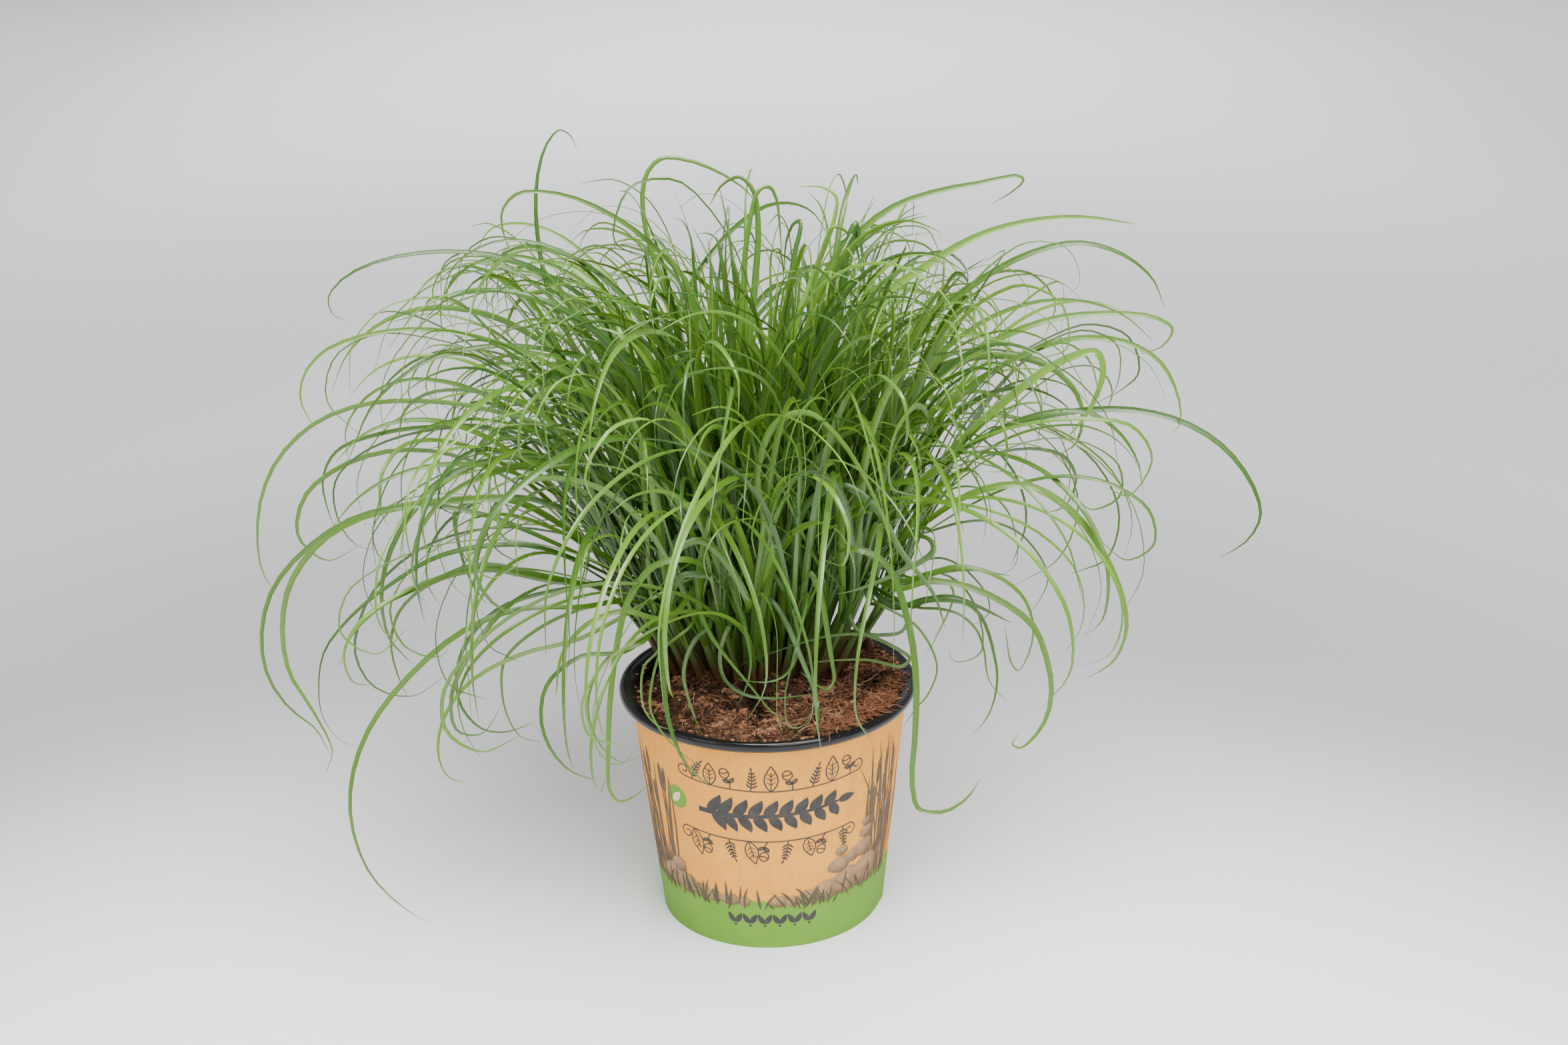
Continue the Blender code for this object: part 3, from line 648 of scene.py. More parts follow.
crumb_shapes = []
for seed in range(LUMP_SHAPES):
    bpy.ops.object.select_all(action="DESELECT")
    bpy.ops.mesh.primitive_ico_sphere_add(subdivisions=1, radius=1.0)
    lump = bpy.context.object
    dice = random.Random(seed)
    for vert in lump.data.vertices:
        vert.co *= dice.uniform(0.45, 1.35)
    crumb_shapes.append(([tuple(vert.co) for vert in lump.data.vertices],
                         [tuple(face.vertices) for face in lump.data.polygons]))
    bpy.data.objects.remove(lump, do_unlink=True)


def ledge_height(reach):
    """Height of the pot's plastic under something that lies this far from its middle."""
    return 0.0955 + (reach - 0.0530) * 0.46 if reach < 0.0575 else 0.0980


dice = random.Random(77)
crumb_spots = []
clods = []
for number in range(CLODS):
    middle = polar(0.050 * sqrt(dice.random()), dice.uniform(0, tau))
    clods.append((*middle, dice.uniform(0.0010, 0.0030), dice.uniform(-0.15, 0.25)))
for number in range(CRUMBS):
    shift = heap = 0.0
    if number % 8 < 5:
        middle_x, middle_y, wide, tint = clods[(number * 7) % CLODS]
        away = wide * sqrt(dice.random())
        aside, back = polar(away, dice.uniform(0, tau))
        x, y = middle_x + aside, middle_y + back
        heap = 0.80 * sqrt(max(0.0, wide * wide - away * away)) * dice.uniform(0.6, 1.0)
        # Crumbs heaped in a clod are painted lighter, as light on the heap's top, on top of the clod's own
        # random tint.
        shift = 0.20 + tint
    else:
        x, y = polar(SOIL_RADIUS * sqrt(dice.random()), dice.uniform(0, tau))
    if hypot(x, y) > SOIL_RADIUS:
        continue
    size = 0.00025 + 0.00075 * dice.random() ** 2.2
    spin = spun(dice.uniform(0, tau), dice.uniform(-0.9, 0.9))
    ground = soil_height(x, y)
    # Painted shade and light: a crumb low in the pits is darker and one high on a heap lighter; crumbs near
    # the clump's foot are darker still, painted shade under the leaves.
    height = (ground - soil_slope(x, y) + heap) / LUMP_HEIGHT
    near_clump = np.linalg.norm((np.array([x, y]) - CLUMP) / CLUMP_REACH)
    shift -= 0.45 * clamped((1.55 - near_clump) / 0.45)
    stretch = dice.uniform(0.7, 2.3)
    crumb_spots.append((dice.randrange(LUMP_SHAPES),
                        (x, y, ground + heap + size * dice.uniform(-0.3, 0.5)),
                        spin, (size * stretch, size, size * 0.8),
                        clamped(-0.12 + 0.82 * height + shift + dice.gauss(0, 0.17))))
for number in range(COLLAR_CRUMBS):
    right = number % 3 > 0
    turn = dice.gauss(0.25, 0.5) if right else dice.uniform(0, tau)
    reach = min(0.0515 + abs(dice.gauss(0, 0.0022 if right else 0.0016)), 0.0592)
    size = 0.00020 + 0.0007 * dice.random() ** 2.5
    spin = spun(dice.uniform(0, tau))
    pile = max(0.0, 0.0560 - reach) * (0.5 if right else 0.25) * dice.random()
    height = ledge_height(reach) + size * 0.4 + pile
    crumb_spots.append((dice.randrange(LUMP_SHAPES), (*polar(reach, turn), height), spin,
                        (size * 1.3, size, size * 0.7), dice.random()))

crumb_coir, tree, shader, place = paint("coir_crumb", 0.92, 0.18)
shade = shade_attribute(tree, "shade")
rough = grain(tree, place, 1200, 4, 0.7)
tint = between(tree, shade, 0.0, 1.0, (0.009, 0.006, 0.004), (0.43, 0.205, 0.110))
tint = mixed(tree, between(tree, rough, 0.45, 0.75, 0.0, 0.35), tint, (0.50, 0.27, 0.155))
coat(tree, shader, tint)
raised(tree, shader, rough, 0.8, 0.0004)
scatter("coir_crumbs", crumb_shapes, crumb_spots, crumb_coir)


def fibre_shape(seed, bends, curl):
    """A thin three-sided thread one unit long that wanders as it goes."""
    dice = random.Random(seed)
    place, heading = np.zeros(3), 0.0
    points, faces = [], []
    for row in range(bends + 1):
        for side in range(3):
            out, up = polar(0.02 if 0 < row < bends else 0.007, tau * side / 3)
            across, ahead = polar(out, heading)
            points.append((place[0] - ahead, place[1] + across, place[2] + up))
        heading += dice.uniform(-curl, curl)
        tilt = dice.uniform(-0.5, 0.5)
        step = (*polar(cos(tilt), heading), sin(tilt))
        place = place + np.array(step) / bends
    for row in range(bends):
        for side in range(3):
            a, b = row * 3 + side, row * 3 + (side + 1) % 3
            faces.append((a, b, b + 3, a + 3))
    return points, faces + [(2, 1, 0), (bends * 3, bends * 3 + 1, bends * 3 + 2)]


fibre_shapes = [fibre_shape(seed, 6, 0.75) for seed in range(FIBRE_SHAPES)]
dice = random.Random(91)
fibre_spots = []
for number in range(FIBRES):
    front = number % 2
    turn = dice.gauss(-0.85, 0.8) if front else dice.uniform(0, tau)
    x, y = polar(0.051 * sqrt(dice.uniform(0.25, 1.0) if front else dice.random()), turn)
    length = dice.uniform(0.003, 0.010)
    spin = spun(dice.uniform(0, tau), dice.gauss(0, 0.38), "Y")
    ground = soil_height(x, y)
    lift = ground + dice.uniform(0.0002, 0.0018)
    # Painted shade and light: a fibre low in the pits is darker and one high on the lumps lighter.
    height = (ground - soil_slope(x, y)) / LUMP_HEIGHT
    fibre_spots.append((dice.randrange(FIBRE_SHAPES), (x, y, lift), spin,
                        (length, length, length * dice.uniform(0.6, 1.0)),
                        clamped(0.40 + 0.5 * height + dice.uniform(-0.3, 0.3))))
for number in range(EDGE_FIBRES):
    turn = dice.gauss(-0.55, 0.35)
    reach = dice.uniform(0.047, 0.0545)
    x, y = polar(reach, turn)
    length = dice.uniform(0.004, 0.010)
    spin = spun(turn + pi / 2 + dice.gauss(0, 0.6))
    lift = max(soil_height(x, y), ledge_height(reach)) + dice.uniform(0.0004, 0.0018)
    aside, back = polar(length / 2, turn + pi / 2)
    fibre_spots.append((dice.randrange(FIBRE_SHAPES), (x - aside, y - back, lift), spin,
                        (length,) * 3, dice.uniform(0.4, 1.0)))
coir_fibre, tree, shader, place = paint("coir_fibre", 0.85, 0.2)
shade = shade_attribute(tree, "shade")
hair = between(tree, shade, 0.1, 0.95, (0.070, 0.028, 0.014), (0.50, 0.225, 0.115))
worn = between(tree, grain(tree, place, 700, 3), 0.4, 0.65, 0.0, 0.5)
coat(tree, shader, mixed(tree, worn, hair, (0.20, 0.085, 0.04)))
scatter("coir_fibres", fibre_shapes, fibre_spots, coir_fibre)

long_shapes = [fibre_shape(50 + seed, 10, 0.28) for seed in range(5)]
dice = random.Random(17)
long_spots = []
for x, y, heading, length in ((0.010, -0.040, 0.15, 0.024), (-0.018, -0.036, 0.5, 0.020),
                              (0.026, -0.031, -0.3, 0.022), (-0.030, -0.022, 1.2, 0.018),
                              (0.036, -0.012, 0.9, 0.019), (0.002, -0.046, -0.1, 0.016)):
    long_spots.append((dice.randrange(5), (x, y, soil_height(x, y) + 0.0018),
                       spun(heading, -0.06, "Y"), (length * 0.75, length * 0.5, length * 0.5),
                       dice.random()))
pale_fibre, tree, shader, place = paint("pale_fibre", 0.8, 0.2)
coat(tree, shader, between(tree, grain(tree, place, 500, 3), 0.35, 0.65,
                           (0.34, 0.20, 0.11), (0.52, 0.35, 0.22)))
scatter("pale_long_fibres", long_shapes, long_spots, pale_fibre)

dice = random.Random(23)
fleck_spots = []
for number in range(FLECKS):
    x, y = polar(0.050 * sqrt(dice.random()), dice.uniform(0, tau))
    size = dice.uniform(0.00025, 0.0006)
    fleck_spots.append((dice.randrange(LUMP_SHAPES), (x, y, soil_height(x, y) + 0.0009),
                        spun(dice.uniform(0, 3)), (size,) * 3, dice.random()))
BEAD = (0.0335, -0.0165)
fleck_spots.append((0, (*BEAD, soil_height(*BEAD) + 0.0016), spun(0.0),
                    (0.0012, 0.0011, 0.0011), 1.0))
white_fleck, tree, shader, place = paint("white_fleck", 0.8, 0.3)
coat(tree, shader, between(tree, grain(tree, place, 600, 3), 0.3, 0.7,
                           (0.50, 0.44, 0.34), (0.74, 0.70, 0.60)))
scatter("white_flecks", crumb_shapes, fleck_spots, white_fleck)

# Tufts
# Twenty-four shoots of cat grass, each a stout stalk with thinner ones around its foot. The
# stalks are tightly rolled leaf sheaths, reddish brown where they leave the mix and green
# above; long, channelled, fine-veined blades leave their tops, arch over and curl.
SHOOTS = 24
STUB_SHOOT = 21
GOLDEN_TURN = 2.39996
SMALL_STALKS = 5
INNER_LEAVES = 5
DRAWS = 1500
ATTEMPTS = 150
STALK_OFFSET = 0.0016
BLADE_ROOT = 0.0017
BLADE_THICKNESS = 0.00016
CROWN_MIDDLE = np.array([-0.009, 0.006, 0.170])
CROWN_REACH = np.array([0.180, 0.152, 0.146])
LIP_RADIUS = 0.0600
LIP_TOP = 0.0981
TRACED_GAP = (0.0045, 0.0035)
GROWN_GAP = (0.0028, 0.0030)
# A traced leaf has its width, its depth behind the pot's middle at the first and last mark,
# all in millimetres, its shoot, and its marks across and down the picture field.
OUTLINE_LEAVES = [
    (2.1, 25, 45, 14, (745, 470), (702, 380), (688, 320), (683, 262), (687, 215), (698, 182), (713, 166),
     (726, 171), (736, 190)),
    (2.2, 35, 50, 6, (872, 450), (847, 369), (826, 305), (819, 250), (826, 219), (844, 202), (877, 204),
     (918, 220), (952, 243), (968, 264)),
    (2.1, 15, 5, 4, (880, 370), (847, 327), (803, 289), (747, 258), (698, 245), (660, 247), (641, 268),
     (642, 298), (658, 334)),
    (1.8, 55, 70, 19, (790, 372), (747, 326), (716, 302), (682, 288), (651, 285), (627, 292), (612, 312),
     (608, 330)),
    (2.1, 20, -10, 9, (770, 408), (700, 352), (640, 328), (580, 321), (520, 325), (470, 338), (436, 357),
     (419, 380), (424, 400), (441, 409)),
    (1.9, -5, -30, 17, (760, 505), (680, 455), (600, 428), (530, 420), (460, 429), (412, 449), (388, 478),
     (383, 508), (393, 533), (406, 549)),
    (1.9, -20, -20, 17, (720, 560), (620, 522), (540, 512), (465, 516), (402, 540), (356, 584), (334, 632),
     (328, 685), (334, 728), (350, 756)),
    (2.1, -25, -45, 17, (700, 690), (610, 655), (530, 645), (450, 662), (388, 703), (348, 752), (334, 806),
     (341, 860), (368, 902), (403, 930), (421, 962)),
    (2.4, -35, -78, 17, (740, 775), (660, 778), (590, 806), (525, 860), (474, 925), (450, 990),
     (449, 1050), (470, 1110), (505, 1150), (545, 1177)),
    (2.5, -50, -74, 20, (880, 715), (835, 722), (802, 765), (786, 830), (778, 900), (776, 960),
     (778, 1008), (790, 1022), (809, 1016), (827, 1000)),
    (2.7, -45, -72, 15, (1085, 700), (1130, 720), (1156, 785), (1168, 860), (1167, 935), (1163, 998),
     (1172, 1032), (1203, 1036), (1233, 1019), (1251, 993)),
    (3.0, -15, -35, 23, (1180, 668), (1245, 628), (1310, 620), (1364, 650), (1406, 704), (1432, 765),
     (1436, 805), (1420, 843), (1385, 866)),
    (2.5, -35, -50, 23, (1150, 752), (1180, 743), (1210, 743), (1250, 754), (1290, 775), (1318, 799),
     (1335, 840), (1341, 885), (1330, 925), (1302, 954), (1291, 949), (1301, 934)),
    (2.6, 15, -20, 18, (1215, 585), (1300, 540), (1380, 524), (1450, 524), (1514, 541), (1565, 575),
     (1600, 625), (1607, 660), (1590, 690), (1555, 712)),
    (2.8, 30, 45, 5, (1040, 380), (1085, 308), (1135, 266), (1195, 244), (1252, 233), (1297, 224),
     (1305, 229), (1298, 239), (1262, 262)),
    (3.2, 35, 45, 13, (1110, 400), (1180, 340), (1250, 300), (1320, 281), (1385, 277), (1450, 286)),
    (2.8, 40, 35, 13, (1170, 430), (1240, 365), (1310, 325), (1375, 310), (1430, 324), (1470, 356),
     (1485, 393)),
    (2.8, 10, 5, 18, (1180, 500), (1260, 440), (1340, 408), (1420, 400), (1476, 406), (1495, 420),
     (1483, 441), (1452, 452)),
    (2.4, 18, -7, 18, (1200, 530), (1290, 460), (1370, 432), (1435, 436), (1480, 462), (1503, 507),
     (1505, 540), (1496, 553)),
    (3.4, -5, -20, 23, (1160, 640), (1230, 560), (1300, 497), (1355, 460), (1398, 449), (1407, 472),
     (1390, 522), (1356, 565)),
    (2.4, 0, -15, 10, (1180, 610), (1260, 555), (1335, 527), (1392, 528), (1430, 555), (1452, 592),
     (1456, 618)),
    (3.0, 15, 30, 0, (955, 470), (962, 370), (967, 290), (960, 242), (943, 226), (921, 236), (905, 262)),
    (2.6, 25, 45, 8, (1010, 440), (1038, 350), (1062, 288), (1067, 252), (1050, 239), (1018, 238)),
    (2.8, -36, -60, 20, (955, 770), (925, 715), (893, 690), (866, 702), (851, 750), (847, 815),
     (850, 868)),
    (2.4, -36, -62, 9, (905, 735), (870, 735), (849, 790), (846, 860), (854, 925), (875, 975),
     (905, 1003)),
    (2.1, -35, -55, 12, (850, 790), (792, 780), (744, 800), (716, 838), (709, 888)),
    (1.8, -30, -60, 12, (740, 815), (665, 835), (600, 870), (567, 915), (559, 960), (571, 990),
     (597, 1000)),
    (1.8, -40, -66, 4, (800, 830), (740, 838), (699, 872), (690, 915), (702, 955), (728, 984),
     (762, 996)),
    (2.9, -30, -68, 15, (1010, 700), (1032, 640), (1075, 620), (1118, 650), (1150, 705), (1192, 760),
     (1205, 800)),
    (2.6, -40, -75, 20, (985, 700), (965, 610), (990, 540), (1030, 527), (1070, 560), (1105, 615),
     (1130, 672), (1140, 715)),
]
FRONT_LEAVES = [
    (2.6, -16, -46, 20, (968, 712), (974, 650), (955, 614), (928, 626), (905, 660), (896, 700), (890, 745),
     (894, 780), (908, 812), (930, 842), (955, 872), (985, 908), (1010, 924)),
    (2.8, -8, -38, 9, (856, 718), (864, 688), (885, 673), (912, 677), (942, 690), (968, 712), (988, 737),
     (1004, 760), (1014, 790), (1018, 815), (1014, 842), (1000, 862), (978, 870), (950, 868), (936, 865)),
    (2.2, -18, -48, 12, (890, 745), (898, 718), (912, 718), (928, 742), (942, 775), (952, 812), (957, 845),
     (953, 872), (941, 900)),
    (1.8, -25, -52, 12, (905, 800), (888, 815), (876, 838), (872, 862), (877, 888), (886, 915),
     (893, 934)),
    (2.4, -20, -40, 15, (1021, 765), (1024, 742), (1032, 731), (1043, 748), (1051, 778), (1056, 810),
     (1061, 842), (1064, 868), (1056, 880), (1040, 873), (1022, 858)),
    (2.2, -15, -50, 7, (968, 757), (985, 768), (1000, 790), (1012, 815), (1024, 845), (1036, 875),
     (1043, 900), (1043, 922), (1039, 936)),
    (3.0, -15, -40, 23, (1110, 715), (1140, 690), (1168, 684), (1186, 690), (1190, 702), (1178, 714),
     (1150, 728), (1120, 742), (1090, 753), (1068, 758)),
    (1.6, -25, -30, 20, (930, 800), (918, 835), (925, 868), (950, 886), (985, 891), (1020, 888),
     (1047, 884)),
    (1.9, -10, -25, 23, (1110, 770), (1140, 768), (1158, 785), (1150, 805), (1120, 810), (1085, 808),
     (1050, 812), (1015, 822), (985, 832), (955, 843), (938, 853)),
    (1.6, -5, -15, 10, (1090, 800), (1130, 820), (1160, 840), (1150, 850), (1110, 842), (1070, 842),
     (1030, 846)),
    (1.2, -30, -62, 23, (1120, 770), (1170, 800), (1195, 850), (1184, 885), (1167, 905), (1150, 930)),
    (1.3, -35, -68, 12, (880, 800), (845, 830), (832, 870), (830, 905), (845, 935), (875, 965),
     (893, 978)),
    (1.3, -30, -56, 9, (840, 830), (822, 850), (818, 880), (822, 905), (838, 925), (862, 932)),
    (1.4, -40, -60, 17, (820, 820), (780, 836), (757, 868), (750, 905), (760, 940), (776, 962), (795, 973),
     (806, 962)),
    (2.4, -15, -20, 23, (1140, 775), (1180, 765), (1215, 762), (1250, 775), (1290, 795)),
    (1.8, 0, -5, 23, (1150, 745), (1200, 730), (1240, 727), (1290, 735)),
    (1.5, -25, -35, 17, (750, 775), (690, 800), (645, 840), (640, 880), (650, 920), (665, 940),
     (690, 947)),
    (2.0, -10, -20, 14, (740, 748), (640, 775), (595, 820), (582, 870), (590, 905), (615, 930), (645, 934),
     (680, 922)),
    (2.4, 0, -10, 14, (720, 745), (620, 728), (550, 745), (510, 780), (499, 820), (507, 860), (520, 890)),
    (2.4, -25, -45, 17, (700, 702), (640, 695), (560, 710), (500, 745), (450, 785), (415, 830), (407, 870),
     (412, 915), (435, 945), (465, 953)),
    (2.9, -20, -40, 17, (690, 735), (610, 722), (540, 748), (490, 772), (450, 810), (433, 850)),
    (3.0, -20, -40, 17, (660, 640), (590, 638), (520, 645), (460, 660), (410, 690), (370, 745), (360, 805),
     (370, 860), (395, 900), (420, 945), (424, 960), (416, 985)),
    (2.0, 10, 0, 14, (680, 562), (600, 546), (520, 555), (460, 580), (430, 610), (426, 640), (440, 680),
     (460, 698), (490, 702)),
    (2.4, 25, 15, 14, (640, 552), (560, 545), (490, 552), (430, 575), (412, 610), (418, 650), (428, 675)),
    (2.6, 5, 0, 14, (690, 640), (610, 638), (582, 652), (584, 690), (600, 740), (620, 770)),
    (3.0, 20, 30, 1, (944, 440), (948, 380), (951, 320), (958, 275), (964, 250), (972, 240), (982, 239),
     (990, 252), (995, 290), (997, 330)),
    (3.4, 24, 34, 5, (1003, 430), (1008, 360), (1014, 320), (1021, 290), (1020, 282), (1012, 285),
     (1003, 305), (1000, 335), (999, 360)),
    (3.8, 34, 44, 8, (1034, 420), (1030, 350), (1022, 325), (1015, 316), (1006, 325), (1000, 345)),
    (4.4, 32, 40, 6, (933, 440), (928, 380), (920, 330), (914, 305), (904, 298), (892, 298)),
    (4.0, 36, 44, 19, (912, 440), (908, 380), (906, 330), (903, 305)),
    (4.2, 36, 44, 11, (950, 460), (945, 400), (940, 350), (934, 330), (924, 318)),
    (3.8, 28, 34, 13, (1058, 480), (1068, 420), (1074, 370), (1080, 320), (1088, 290), (1093, 285),
     (1098, 300), (1102, 340), (1106, 400), (1110, 440)),
    (2.2, 30, 36, 8, (1030, 430), (1043, 345), (1052, 310), (1062, 290), (1075, 292), (1090, 310),
     (1098, 340), (1104, 390)),
    (2.6, 30, 36, 3, (982, 440), (984, 380), (983, 340), (985, 322), (993, 318), (998, 335), (999, 360)),
    (2.8, 20, 24, 9, (886, 480), (888, 400), (885, 340), (880, 300), (870, 282), (858, 278)),
    (3.8, 10, 12, 15, (1005, 560), (1018, 500), (1024, 450), (1034, 410), (1043, 393)),
    (3.6, 18, 16, 7, (930, 560), (925, 490), (920, 430), (916, 385), (912, 362)),
    (3.8, 22, 24, 10, (1040, 560), (1062, 490), (1085, 430), (1100, 390), (1112, 368), (1128, 360)),
    (3.6, 24, 26, 4, (900, 560), (876, 480), (862, 420), (850, 370), (842, 340), (836, 326)),
    (2.0, -25, -40, 23, (1160, 740), (1190, 730), (1220, 723), (1250, 727), (1280, 740), (1303, 760),
     (1315, 785), (1317, 812), (1310, 838), (1299, 855), (1290, 846), (1285, 822), (1282, 798)),
    (1.1, 0, -10, 18, (1150, 690), (1190, 677), (1220, 668), (1250, 664), (1275, 668), (1300, 680),
     (1318, 698), (1332, 720), (1337, 738), (1332, 755), (1320, 775), (1312, 785)),
    (1.5, -20, -45, 23, (1165, 775), (1180, 768), (1205, 766), (1230, 770), (1248, 782), (1260, 805),
     (1268, 835), (1272, 860), (1270, 885), (1262, 910), (1250, 928), (1240, 938)),
    (1.0, 10, 0, 21, (1160, 737), (1185, 730), (1205, 733), (1225, 745), (1240, 765), (1250, 790),
     (1254, 815), (1252, 830), (1242, 840), (1218, 844), (1210, 830)),
    (1.2, -20, -40, 23, (1170, 775), (1200, 777), (1225, 785), (1245, 803), (1255, 830), (1259, 860),
     (1266, 876), (1285, 895)),
    (1.4, -5, -20, 18, (1165, 738), (1190, 738), (1210, 745), (1216, 757), (1212, 775), (1200, 800),
     (1190, 820), (1178, 840)),
    (0.9, 10, 5, 18, (1190, 640), (1220, 622), (1245, 622), (1267, 633), (1285, 652), (1295, 680),
     (1298, 705), (1294, 722), (1280, 732), (1265, 735)),
    (0.9, 5, -5, 18, (1165, 718), (1200, 712), (1225, 722), (1245, 740), (1259, 760), (1262, 780),
     (1252, 792), (1240, 797)),
]
# A habit has the draw below which it is taken and how far out it may grow, its tilt in degrees
# (least, more further out, spread), and the ranges of length, droop in degrees and late bend.
HABITS = (
    (0.24, 0.75, (0, 0, 10), (0.11, 0.185), (5, 70), (2.0, 3.5)),
    (0.38, 0.62, (0, 0, 9), (0.18, 0.27), (15, 120), (2.2, 4.2)),
    (0.45, 9.0, (2, 17, 7), (0.13, 0.24), (50, 150), (1.8, 3.4)),
    (0.80, 9.0, (2, 20, 7), (0.20, 0.30), (60, 170), (2.0, 3.6)),
    (1.00, 9.0, (20, 26, 8), (0.16, 0.32), (90, 200), (1.3, 2.6)),
)
VIEW_ELEVATION = radians(20.81)
VIEW_ROLL = radians(-1.23)
VIEW_DISTANCE = 0.8653
VIEW_TARGET = Vector((0.0080, 0.0, 0.1650))
PICTURE_REACH = 2806.1
PICTURE_MIDDLE = (1000, 666.65)
forward = Vector((0.0, cos(VIEW_ELEVATION), -sin(VIEW_ELEVATION)))
level = Vector((1.0, 0.0, 0.0))
upright = Vector((0.0, sin(VIEW_ELEVATION), cos(VIEW_ELEVATION)))
view_right = level * cos(VIEW_ROLL) + upright * sin(VIEW_ROLL)
view_up = upright * cos(VIEW_ROLL) - level * sin(VIEW_ROLL)
eye = VIEW_TARGET - forward * VIEW_DISTANCE


def picture_point(across, down, depth):
    """The point at a depth (Y) behind a place in a picture field of 2000 by 1333 units."""
    ray = forward + view_right * ((across - PICTURE_MIDDLE[0]) / PICTURE_REACH)
    ray += view_up * ((PICTURE_MIDDLE[1] - down) / PICTURE_REACH)
    return np.array(eye + ray * ((depth - eye.y) / ray.y))


def slid_clear(across, down, depth):
    """The point at a depth behind a place in the picture, or in front of the pot if it hits."""
    point = picture_point(across, down, depth)
    while (hypot(point[0], point[1]) < LIP_RADIUS + TRACED_GAP[0]
           and point[2] < LIP_TOP + TRACED_GAP[1]):
        depth -= 0.001
        point = picture_point(across, down, depth)
    return point


def run_along(path):
    """The distance along a path at each of its points."""
    return np.concatenate([[0], np.cumsum(np.linalg.norm(np.diff(path, axis=0), axis=1))])


def smooth_path(points, count):
    """A smooth curve through the points, with more steps in the bends."""
    points = [np.array(point, float) for point in points]
    padded = [2 * points[0] - points[1]] + points + [2 * points[-1] - points[-2]]
    dense = [points[0]]
    for start in range(len(points) - 1):
        corners = padded[start:start + 4]
        knots = [0.0]
        for first, second in zip(corners, corners[1:]):
            knots.append(knots[-1] + max(np.linalg.norm(second - first), 1e-6) ** 0.5)
        for step in range(1, 17):
            t = knots[1] + (knots[2] - knots[1]) * step / 16
            row = corners
            for pairs in (((0, 1), (1, 2), (2, 3)), ((0, 2), (1, 3)), ((1, 2),)):
                row = [((knots[high] - t) * row[k] + (t - knots[low]) * row[k + 1])
                       / (knots[high] - knots[low]) for k, (low, high) in enumerate(pairs)]
            dense.append(row[0])
    dense = np.array(dense)
    lengths = np.linalg.norm(np.diff(dense, axis=0), axis=1)
    heading = np.diff(dense, axis=0) / lengths[:, None]
    weight = lengths.copy()
    weight[1:] += 0.020 * np.arccos(np.clip((heading[1:] * heading[:-1]).sum(1), -1, 1))
    run = np.concatenate([[0], np.cumsum(weight)])
    wanted = np.linspace(0, run[-1], count + 1)
    return np.stack([np.interp(wanted, run, dense[:, k]) for k in range(3)], 1)


def arching_path(start, lean, bearing, length, rise, droop, swirl, curl, sway=0.0, phase=0.0,
                 late=1.7):
    """A blade that leaves its stalk steeply, arches over and curls at the tip."""
    share = (np.arange(40) + 0.5) / 40
    angle = rise - droop * share ** late - curl * np.maximum(0.0, share - 0.72) ** 1.3
    angle = angle + sway * np.sin(share * 9.0 + phase)
    facing = bearing + swirl * share ** 2 + sway * np.cos(share * 7.0 + phase)
    steps = np.stack([np.cos(angle) * np.cos(facing), np.cos(angle) * np.sin(facing),
                      np.sin(angle)], 1)
    freed = np.clip(share / 0.15, 0, 1)[:, None]
    steps = unit(steps * freed + lean * (1 - freed))
    return np.concatenate([[start], start + np.cumsum(steps, axis=0) * length / 40])


def clear_of_pot(path):
    fine = np.concatenate([path[:-1] + (path[1:] - path[:-1]) * k / 6 for k in range(6)]
                          + [path[-1:]])
    near = np.hypot(fine[:, 0], fine[:, 1]) < LIP_RADIUS + GROWN_GAP[0]
    near &= fine[:, 2] < LIP_TOP + GROWN_GAP[1]
    return not (near | (fine[:, 2] < 0.004)).any()


def inside_crown(path):
    return ((((path - CROWN_MIDDLE) / CROWN_REACH) ** 2).sum(1) < 1.0).all()


def hides_soil(path):
    """Whether a blade hangs or passes low before the clump, where the mix is seen."""
    aside = abs(path[:, 0] - CLUMP[0])
    before = (aside < 0.040) & (path[:, 1] < CLUMP[1] - 0.022) & (path[:, 2] < 0.128)
    falling = (aside < 0.058) & (path[:, 1] < CLUMP[1] - 0.012) & (path[:, 2] < 0.21)
    return (before | falling & (np.diff(path[:, 2], prepend=0.0) < 0)).any()


def follows(solid, path):
    """Whether a blade's path ends at a leaf tip of the shoot's solid and runs along that leaf."""
    if solid.find_nearest(Vector(path[-1]), 0.0006)[0] is None:
        return False
    return all(solid.find_nearest(Vector(path[k]), 0.0025)[0] is not None for k in (10, 20, 30))


def tilted(tilt, bearing):
    return np.array([*polar(sin(tilt), bearing), cos(tilt)])


def leave_stalk(top, lean, bearing, offset):
    """Where a blade leaves the top of its stalk, and the way that it leaves it."""
    side = np.array([*polar(1.0, bearing), 0.0])
    side = unit(side - lean * (side @ lean))
    return top + side * offset + lean * 0.0004, side


def traced_path(top, lean, points, up, out, count):
    """A path from the top of a stalk through the points that a leaf was traced by."""
    bearing = atan2(points[1][1] - top[1], points[1][0] - top[0])
    start, side = leave_stalk(top, lean, bearing, STALK_OFFSET)
    return smooth_path([start, start + lean * up + side * out] + points, count)


